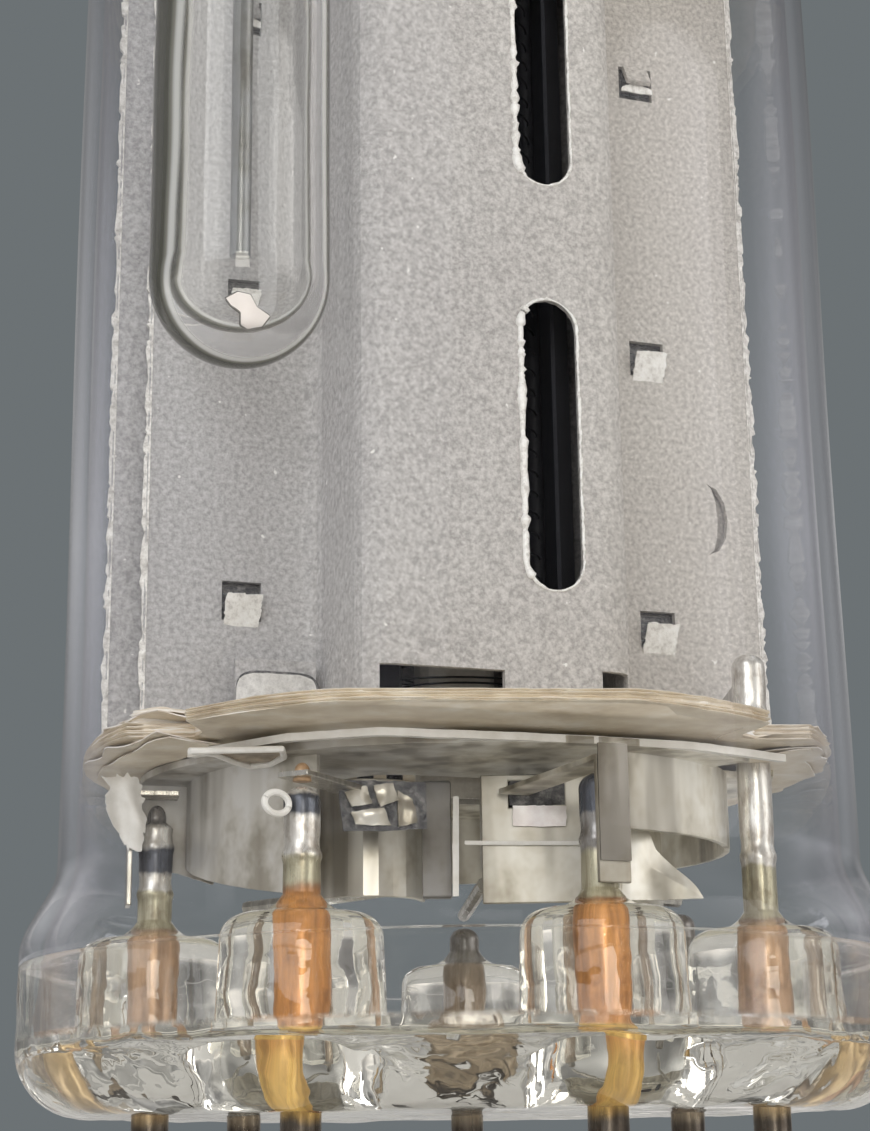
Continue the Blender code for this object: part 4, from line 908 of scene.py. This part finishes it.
def makeAnodeRims(s):
    # the sheared side edges: a small square section carried up the sheet, torn outwards by chance
    z = np.linspace(s["low"] + 0.05, s["high"] - 0.05, s["steps"])
    still, half = 0 * z, s["sheet"] / 2
    parts = []
    for seed, x, y, way in ((41, -s["half"], s["back"], -1), (42, s["half"], s["back"], 1),
                            (43, -s["frontLeft"], -s["back"], -1), (44, s["frontRight"], -s["back"], 1)):
        tear = jagged(s["steps"], s["teeth"], seed) * s["reach"]
        lean = (jagged(s["steps"], s["leans"], seed + 10) - 0.5) * s["lean"]
        corners = [(still - s["root"], still - half - 0.03), (tear, lean - half * 0.7),
                   (tear * 0.8, lean + half * 0.7), (still - s["root"], still + half + 0.03)]
        rows = np.stack([np.stack([x + way * dx, y + dy, z], axis=-1) for dx, dy in corners], axis=1)
        parts.append(gridFaces(rows * mm, closeColumns=True, capEnds=True))
    makePiece("anodeEdges", parts, shearedEdge, sharp=30)


makeAnodeRims(anodeRims)

slots = {"x": 2.4, "halfW": 1.3, "length": 13.0, "feet": (32.9, 51.3), "face": 6.15, "thin": 0.035, "burr": 0.075,
         "leftShare": 2.3, "rightShare": 0.85, "teeth": 110, "bends": 150, "bend": 0.04}


def makeSlotBurrs(s):
    # a thin uneven roll of torn metal along each slot's edge, thicker on its left
    half, run = s["halfW"], s["length"] - 2 * s["halfW"]
    up = np.linspace(0, 1, 120, endpoint=False)
    turn = np.linspace(0, np.pi, 50, endpoint=False)
    x = np.concatenate([half + 0 * up, half * np.cos(turn), 0 * up - half, -half * np.cos(turn)])
    rise = np.concatenate([up * run, run + half * np.sin(turn), (1 - up) * run, -half * np.sin(turn)])
    parts = []
    for way in (1, -1):  # front, then back
        for number, foot in enumerate(s["feet"]):
            tear = jagged(len(x), s["teeth"], 60 + number)
            thick = (s["thin"] + s["burr"] * tear) * np.where(x < -0.8 * half, s["leftShare"], s["rightShare"])
            edge = np.stack([way * (s["x"] + x), way * (0.02 - s["face"] - 0.04 * tear), foot + half + rise], axis=-1)
            rows = tubeRows(np.concatenate([edge, edge[:1]]), np.append(thick, thick[0]), 6)[:-1]
            rows[:, :, 0] += s["bend"] * (jagged(len(x), s["bends"], 70 + number) - 0.5)[:, None]
            parts.append(gridFaces(rows * mm, closeRows=True, closeColumns=True))
    makePiece("slotBurrs", parts, tornBright)


makeSlotBurrs(slots)

lances = {"x": 9.6, "low": (33.05, 46.05), "high": 60.3, "width": 1.44, "length": 1.35, "tilt": 28.0, "off": 0.14,
          "root": (-0.3, -1.0), "thick": 0.08, "wave": 0.03,
          "stub": ((-0.75, -0.10), (0.75, -0.10), (0.72, 0.16), (-0.1, 0.34), (-0.72, 0.12)), "stubAt": (-0.62, -0.42),
          "ribs": 5, "ribHalf": 0.95, "ribLow": -0.78, "ribStep": 0.39, "ribHeight": 0.36, "ribThick": 0.06}


def makeLances(s):
    # torn tongues that lean out of the wings, each with a dark ribbed plate in its opening: painted shade of the hollow
    # behind it
    tilt = math.radians(s["tilt"])
    along = np.array([0, -math.sin(tilt), math.cos(tilt)]) * s["length"]
    off = np.array([0, -math.cos(tilt), -math.sin(tilt)]) * s["off"]
    across = np.array([s["width"] / 2, 0, 0])
    (rootY, rootZ), (stubY, stubZ) = s["root"], s["stubAt"]
    tongues, plates = [], []
    for side in (-1, 1):
        x = side * s["x"]
        for number, z in enumerate(s["low"]):
            root = np.array([x, rootY, z + rootZ]) + off
            corners = [root - across, root + across, root + across + along, root - across + along]
            tongues.append(cutSheet(corners, s["thick"], s["wave"], size=1.2, tear=0.10, seed=300 + number + side))
        stub = [(x + dx, s["high"] + stubZ + dz) for dx, dz in s["stub"]]
        tongues.append(cutSheet(standing(stub, stubY), s["thick"], s["wave"], size=1.0, tear=0.08, seed=310 + side))
        # the dark ribbed plates in the openings are painted shade
        left, right = x - s["ribHalf"], x + s["ribHalf"]
        for z in (*s["low"], s["high"]):
            for rib in range(s["ribs"]):
                low = z + s["ribLow"] + s["ribStep"] * rib
                high = low + s["ribHeight"]
                corners = [(left, -0.02, low), (right, -0.02, low), (right, 0.02, high), (left, 0.02, high)]
                plates.append(cutSheet(corners, s["ribThick"], seed=320 + rib, rings=3))
    makePiece("lanceTongues", tongues, tornBright, sharp=40)
    makePiece("lanceShadePlates", plates, paintedShadeDark, sharp=30)


makeLances(lances)
smoothCopy("anode_strap", "anodeStrap", nickelSatin)

lug = {"centre": (-8.4, 28.30), "half": (1.70, 1.35), "face": 1.86, "seam": 0.09, "shadowOffset": (0.08, 0.10, 0.06)}


def makeLugFace(s):
    # the lug's rubbed front: a plate with rounded corners before it, and a dark line over and beside it: painted shadow
    # of the lug
    a = np.linspace(0, 2 * np.pi, 80, endpoint=False)
    reach = (np.abs(np.cos(a)) ** 5 + np.abs(np.sin(a)) ** 5) ** -0.2
    (x, z), (halfW, halfH) = s["centre"], s["half"]
    outline = np.stack([x + halfW * reach * np.cos(a), 0 * a - s["face"], z + halfH * reach * np.sin(a)], axis=-1)
    plate = cutSheet(outline, thick=0.10, wave=0.04, size=1.6, tear=0.03, seed=560)
    makePiece("lugFace", [plate], lugPale, sharp=40)
    makePiece("lugShadowLine", [loop(outline + s["shadowOffset"], s["seam"])], paintedShadeDark)


makeLugFace(lug)
print("anode made")


# electrodes inside the anode

grids = {
    "controlGrid": {"node": "control_grid", "halfW": 2.75, "halfD": 1.5, "turns": 44, "leftEnd": 25.3,
                    "rightEnd": 22.1},
    "screenGrid": {"node": "screen_grid", "halfW": 4.05, "halfD": 2.3, "turns": 40, "leftEnd": 25.3,
                   "rightEnd": 23.2},
}
winding = {"low": 29.2, "high": 68.0, "top": 72.8, "rod": 0.35, "wire": 0.05, "perTurn": 28}


def makeGrid(name, s, w):
    # a fine oval helix wound on two side rods
    a = np.linspace(0, 2 * np.pi * s["turns"], s["turns"] * w["perTurn"] + 1)
    level = w["low"] + (w["high"] - w["low"]) * a / a[-1]
    path = np.stack([s["halfW"] * np.cos(a), s["halfD"] * np.sin(a), level], axis=-1)
    parts = [gridFaces(tubeRows(path, w["wire"], 5) * mm, closeColumns=True, capEnds=True)]
    top, rod = w["top"], w["rod"]
    for x, end in ((-s["halfW"], s["leftEnd"]), (s["halfW"], s["rightEnd"])):
        profile = [(0, top), (rod * 0.8, top), (rod, top - 0.08), (rod, end + 0.08), (rod * 0.8, end), (0, end)]
        parts.append(gridFaces(turnedRows(profile, 20, (x, 0.0)) * mm, closeColumns=True))
    makePiece(name, parts, gridDark, [s["node"]], sharp=40)


for name, values in grids.items():
    makeGrid(name, values, winding)
smoothCopy("beam_plate_left", "beamPlateLeft", beamDark)
smoothCopy("beam_plate_right", "beamPlateRight", beamDark)
smoothCopy("cathode", "cathodeSleeve", oxideWhite, bevel=0.0)


# micas

mica = {"radius": 15.65, "flat": 14.75, "axis": -14.0, "notchAt": 52.0, "notchHalf": 7.0, "notchDepth": 2.2,
        "leaves": ((0.02, 0.10), (0.13, 0.22), (0.24, 0.02), (0.36, 0.16), (0.46, 0.06)), "reach": 0.22, "depth": 1.1,
        "wave": 0.05, "waveSize": 5.0, "limit": 15.9, "teeth": (240, 31)}


def micaEdge(azimuth, s):
    # round, cut by two flats across the axis, with a soft notch on each side of them
    away = azimuth - math.radians(s["axis"])
    along = np.abs(np.cos(away))
    radius = np.where(along * s["radius"] > s["flat"], s["flat"] / np.maximum(along, 1e-6), s["radius"])
    half = math.radians(s["notchHalf"])
    for place in (s["notchAt"], -s["notchAt"], 180 - s["notchAt"], 180 + s["notchAt"]):
        off = np.remainder(away - math.radians(place) + np.pi, 2 * np.pi) - np.pi
        radius = radius - np.where(np.abs(off) < half, s["notchDepth"] * np.cos(off / half * np.pi / 2), 0)
    return radius


def makeMicaLeaves(name, s, bottom, seed, count=1100):
    # split leaves along the edge: each a thin band that follows the outline, torn outwards and slightly wavy
    azimuth = np.linspace(0, 2 * np.pi, count, endpoint=False)
    edge = micaEdge(azimuth, s)
    inner = edge - s["depth"]
    ring = np.concatenate([around(azimuth, 10.0), 0 * azimuth[:, None]], axis=1)
    (fine, coarse), parts = s["teeth"], []
    for number, (level, out) in enumerate(s["leaves"]):
        tear = jagged(count, fine, seed + number) * jagged(count, coarse, seed + 20 + number)
        outer = np.minimum(edge + out * 0.6 + tear * s["reach"], s["limit"])
        z = bottom + level + s["wave"] * ripple(ring, s["waveSize"], seed + 40 + number)
        band = [(inner, z), (outer - 0.12, z - 0.03), (outer, z + 0.02), (outer - 0.05, z + 0.06), (inner, z + 0.05)]
        rows = np.stack([np.concatenate([around(azimuth, r), h[:, None]], axis=-1) for r, h in band], axis=1)
        parts.append(gridFaces(rows * mm, closeRows=True, closeColumns=True))
    makePiece(name, parts, micaLeaf, sharp=50)


makeMicaLeaves("lowerMicaLeaves", mica, bottom=26.2, seed=100)
makeMicaLeaves("upperMicaLeaves", mica, bottom=70.5, seed=200)

# each layer: level, outer and inner radius, how far it is torn; each side: from one angle to the other
ears = {"layers": ((26.06, 15.75, 12.0, 0.55), (25.93, 15.3, 12.6, 0.9),
                   (26.92, 15.8, 12.4, 0.5), (27.04, 15.2, 12.8, 0.8)),
        "left": (-66.0, -132.0), "right": (50.0, 104.0)}


def makeEarFlakes(s, count=26, knots=14):
    # loose flakes of mica over and under each ear: an arc outside, torn back inside, and crumpled
    parts = []
    for side, (start, end) in enumerate((s["left"], s["right"])):
        a = np.radians(np.linspace(start, end, count))
        for number, (level, outer, inner, tear) in enumerate(s["layers"]):
            chance = number + 10 * side
            bite = jagged(count, knots, 400 + chance) * tear
            flat = np.concatenate([around(a, outer - bite), around(a[::-1], inner + bite[::-1] * 1.4)])
            flake = np.concatenate([flat, np.full((len(flat), 1), level)], axis=1)
            parts.append(cutSheet(flake, thick=0.05, wave=0.09, size=3.0, tear=0.12, seed=420 + chance))
    makePiece("earFlakes", parts, micaLeaf, sharp=40)


makeEarFlakes(ears)

nub = {"centre": (-13.3, -3.9, 26.75), "half": (1.55, 0.8, 0.78), "layers": 26, "layerDepth": 0.05, "rough": 0.08}


def makeMicaNub(s):
    # the rounded tab on the left ear: a small loaf with layered sides
    a = np.linspace(0, 2 * np.pi, 60, endpoint=False)
    h = np.linspace(-1, 1, 22)[:, None]
    width = (1 - np.abs(h) ** 4) ** 0.25 * (1 + s["layerDepth"] * np.sin(h * s["layers"]))
    rows = np.stack([np.cos(a) * width, np.sin(a) * width, h + 0 * a], axis=-1) * s["half"]
    rows += s["rough"] * ripple(rows, 1.3, 440)[..., None]
    makePiece("micaNub", [gridFaces((rows + s["centre"]) * mm, closeColumns=True, capEnds=True)], micaLeaf)


makeMicaNub(nub)
smoothCopy("lower_mica", "lowerMica", micaFace, bevel=0.0)
smoothCopy("upper_mica", "upperMica", micaFace, bevel=0.0)
print("micas made")


# nickel parts under the lower mica

underMica = {
    "lower_shield": ("lowerShield", shieldSatin, 0.05), "screen_bracket": ("screenBracket", bracketSatin, 0.05),
    "cathode_can": ("cathodeCan", plateSatin, 0.04), "centre_bar": ("centreBar", strapDark, 0.08),
    "curved_baffle": ("curvedBaffle", plateSatin, 0.04), "shield_strap": ("shieldStrap", nickelBright, 0.04),
    "cathode_strap": ("cathodeStrap", nickelSatin, 0.04), "screen_strap": ("screenStrap", strapLight, 0.04),
}
for node, (name, paint, bevel) in underMica.items():
    smoothCopy(node, name, paint, bevel)

legShade = {"azimuth": 5.31, "radius": 13.97, "half": 0.62, "low": 20.7, "high": 25.0}


def makeLegShade(s):
    # a darker plate on the outer face of the strap's leg before the third lead: painted shade
    azimuth = math.radians(s["azimuth"])
    middle = around(np.array(azimuth), s["radius"])
    side = np.array([math.cos(azimuth), math.sin(azimuth)]) * s["half"]
    left, right, low, high = middle - side, middle + side, s["low"], s["high"]
    corners = [(*left, low), (*right, low), (*right, high), (*left, high)]
    plate = cutSheet(corners, thick=0.06, wave=0.02, size=1.5, tear=0.03, seed=580)
    makePiece("legShade", [plate], legShadeGrey, sharp=40)


makeLegShade(legShade)

shieldTrim = {
    "lip": ((-12.45, -3.91), (-9.49, -8.26), (-6.49, -10.25), (-1.38, -10.59), (2.04, -10.67), (6.27, -10.5),
            (11.0, -9.0)),
    "lipWidth": 0.35, "lipLevels": (25.62, 25.92),
    "curl": ((-13.04, -6.76), (-11.96, -6.39), (-10.83, -4.91), (-10.06, -4.2), (-9.4, -4.83), (-9.25, -6.43),
             (-9.74, -8.04)),
    "curlLevel": 25.34, "wire": 0.13,
    "wedge": ((-15.05, 25.46), (-14.59, 25.15), (-14.95, 24.68), (-14.6, 24.04), (-14.26, 23.35), (-13.91, 22.67),
              (-13.46, 22.69), (-13.45, 24.0), (-13.48, 25.23), (-14.11, 25.46)),
    "wedgeAt": 0.6,
    "wing": ((-14.04, 25.7), (-12.69, 25.75), (-9.9, 25.75), (-9.9, 21.5), (-11.49, 22.0), (-12.59, 22.15),
             (-13.03, 22.89)),
    "wingAt": 2.9,
    "eyelet": (-10.35, -9.7, 23.0), "eyeletHalf": (0.52, 0.25, 0.40),
}


def makeShieldTrim(s):
    # the bright rolled rim of the dish, the torn curl at its left, the bent corner under the left ear, and an eyelet
    curl = np.array(s["curl"], float)
    rim = np.concatenate([curl, np.full((len(curl), 1), s["curlLevel"])], axis=1)
    a = np.linspace(0, 2 * np.pi, 40, endpoint=False)
    eyelet = s["eyelet"] + np.stack([np.cos(a), np.cos(a), np.sin(a)], axis=-1) * s["eyeletHalf"]
    wedge, wing = standing(s["wedge"], s["wedgeAt"]), standing(s["wing"], s["wingAt"])
    bright = [strip(s["lip"], s["lipWidth"], *s["lipLevels"], seed=500, tear=0.10), loop(rim, s["wire"]),
              cutSheet(wedge, thick=0.12, wave=0.22, size=1.1, tear=0.30, seed=501), loop(eyelet, s["wire"])]
    corner = cutSheet(wing, thick=0.12, wave=0.12, size=4.0, tear=0.05, seed=503)
    hollow = cutSheet(rim + [0, 0, 0.08], thick=0.05, wave=0.04, size=1.5, seed=502)
    makePiece("shieldTrim", bright, lipWhite, sharp=40)
    makePiece("shieldWing", [corner], shieldSatin, sharp=40)
    makePiece("shieldCurl", [hollow], curlBrown, sharp=40)


makeShieldTrim(shieldTrim)

leadNib = {"centre": (-9.15, -8.8), "low": 24.0, "shoulder": 24.35, "radius": 0.30, "crown": 0.36,
           "footRadius": 0.36}


def makeLeadNib(s):
    # a round head on a short stem, turned about the second lead's wire
    a = np.linspace(0, np.pi / 2, 8)
    head = np.stack([s["radius"] * np.sin(a), s["shoulder"] + s["crown"] * np.cos(a)], axis=1)
    profile = np.concatenate([head, [(s["footRadius"], s["low"]), (0.0, s["low"])]])
    makePiece("leadNib", [gridFaces(turnedRows(profile, 24, s["centre"]) * mm, closeColumns=True)], nibOrange)


makeLeadNib(leadNib)

tabs = {
    "y": -6.9, "shadeBehind": 0.35,
    "bright": (((-6.93, 23.99), (-6.09, 24.26), (-5.85, 23.61), (-6.65, 23.46)),
               ((-5.76, 24.28), (-5.03, 24.42), (-4.79, 23.77), (-5.52, 23.5)),
               ((-6.65, 23.23), (-5.4, 23.43), (-5.12, 22.78), (-6.5, 22.77)),
               ((-4.79, 24.16), (-4.22, 23.79), (-4.02, 22.94), (-4.76, 22.75))),
    "dark": ((-7.08, 24.49), (-3.61, 24.56), (-3.51, 22.75), (-6.88, 22.55)),
}


def makeTabs(s):
    # the cathode's folded tabs between the second lead and the bar: crumpled bright plates before a dark one
    bright = [cutSheet(standing(shape, s["y"]), thick=0.08, wave=0.10, size=0.8, tear=0.05, seed=520 + number)
              for number, shape in enumerate(s["bright"])]
    dark = standing(s["dark"], s["y"] + s["shadeBehind"])
    shade = cutSheet(dark, thick=0.06, wave=0.06, size=1.0, tear=0.08, seed=530)
    makePiece("cathodeTabs", bright, plateSatin, sharp=35)
    makePiece("tabShade", [shade], paintedShadeDark, sharp=35)


makeTabs(tabs)

frontPlates = {
    "bracketRibs": {"paint": lipWhite, "sheets": [
        {"outline": ((-1.25, -4.6, 22.61), (3.16, -6.24, 22.52), (3.15, -6.24, 22.36), (-1.25, -4.6, 22.45)),
         "thick": 0.10, "wave": 0.01, "size": 1.0, "tear": 0.02, "seed": 540},
        {"outline": ((-1.69, -4.49, 24.39), (-1.47, -4.58, 24.39), (-1.53, -4.55, 20.4), (-1.76, -4.47, 20.4)),
         "thick": 0.10, "wave": 0.02, "size": 1.0, "tear": 0.03, "seed": 541}]},
    "bracketBand": {"paint": bandPink, "sheets": [
        {"outline": ((0.59, -5.29, 23.99), (2.59, -6.03, 23.95), (2.57, -6.02, 23.14), (0.57, -5.28, 23.18)),
         "thick": 0.08, "wave": 0.03, "size": 1.4, "tear": 0.04, "seed": 542}]},
    # a dark plate in the bracket's window: painted shade
    "bracketWindowShade": {"paint": paintedShadeDark, "sheets": [
        {"outline": ((0.60, -5.05, 25.3), (2.76, -5.86, 25.27), (2.72, -5.84, 24.05), (0.56, -5.04, 24.08)),
         "thick": 0.06, "wave": 0.02, "size": 1.0, "tear": 0.05, "seed": 543}]},
    "baffleFoot": {"paint": plateSatin, "sheets": [
        {"outline": ((4.05, -7.9, 23.35), (5.0, -7.9, 23.39), (5.59, -7.95, 22.01), (7.05, -8.1, 20.67),
                     (7.45, -8.2, 20.1), (4.07, -8.0, 20.0)),
         "thick": 0.10, "wave": 0.12, "size": 2.6, "tear": 0.04, "seed": 544}]},
}
# the bracket's rib, band and a dark plate in its window as painted shade, the bar's bright edge, and the flared foot of
# the curved sheet
for name, plate in frontPlates.items():
    makePiece(name, [cutSheet(**sheet) for sheet in plate["sheets"]], plate["paint"], sharp=35)


# getter

getter = {"radius": 4.0, "halfW": 0.5, "low": 75.6, "height": 0.9, "wall": 0.22, "round": 0.2, "soften": 0.1,
          "filmLow": 74.0, "filmHigh": 82.0, "filmGaps": (0.06, 0.09), "filmEdge": 12}


def makeGetterRing(s):
    # a channel section turned about the tube's axis
    outer, inner = s["radius"] + s["halfW"], s["radius"] - s["halfW"]
    low, high, w = s["low"], s["low"] + s["height"], s["wall"]
    floor, r, soft = low + w, s["round"], s["soften"]
    profile = np.concatenate([
        straight(outer, high, outer, low + r, 6), bow(outer - r, low + r, r, r, 0, -90, 5)[1:],
        bow(inner + r, low + r, r, r, -90, -180, 5), straight(inner, low + r + 0.05, inner, high, 6),
        [(inner + w, high), (inner + w, floor + soft), (inner + w + soft, floor),
         (outer - w - soft, floor), (outer - w, floor + soft), (outer - w, high)],
    ])
    rows = turnedRows(profile, 96)
    makePiece("getterRing", [gridFaces(rows * mm, closeRows=True, closeColumns=True)], getterSteel,
              ["getter_ring"], sharp=40)


def makeGetterFilm(s, b):
    # a film just inside the dome, as a thin closed cap
    radius, height = b["radius"] - b["wall"], b["domeHeight"] - b["wall"]
    outer, inner = (bow(0, b["domeStart"], radius - gap, height - gap, s["filmEdge"], 90, 40) for gap in s["filmGaps"])
    rows = turnedRows(np.concatenate([outer, inner[::-1]]), 120)
    makePiece("getterFilm", [gridFaces(rows * mm, closeRows=True, closeColumns=True)],
              filmPaint(s["filmLow"], s["filmHigh"]))


makeGetterRing(getter)
makeGetterFilm(getter, bulb)

# CAD pieces that are shown as they are
kept = {"heater": oxideWhite, "control_wire": nickelSatin, "heater_wire_left": nickelSatin,
        "heater_wire_right": nickelSatin, "getter_post": nickelSatin}
for name, paint in kept.items():
    nodes[name].data.materials.clear()
    nodes[name].data.materials.append(paint)
print("getter made and CAD pieces painted")
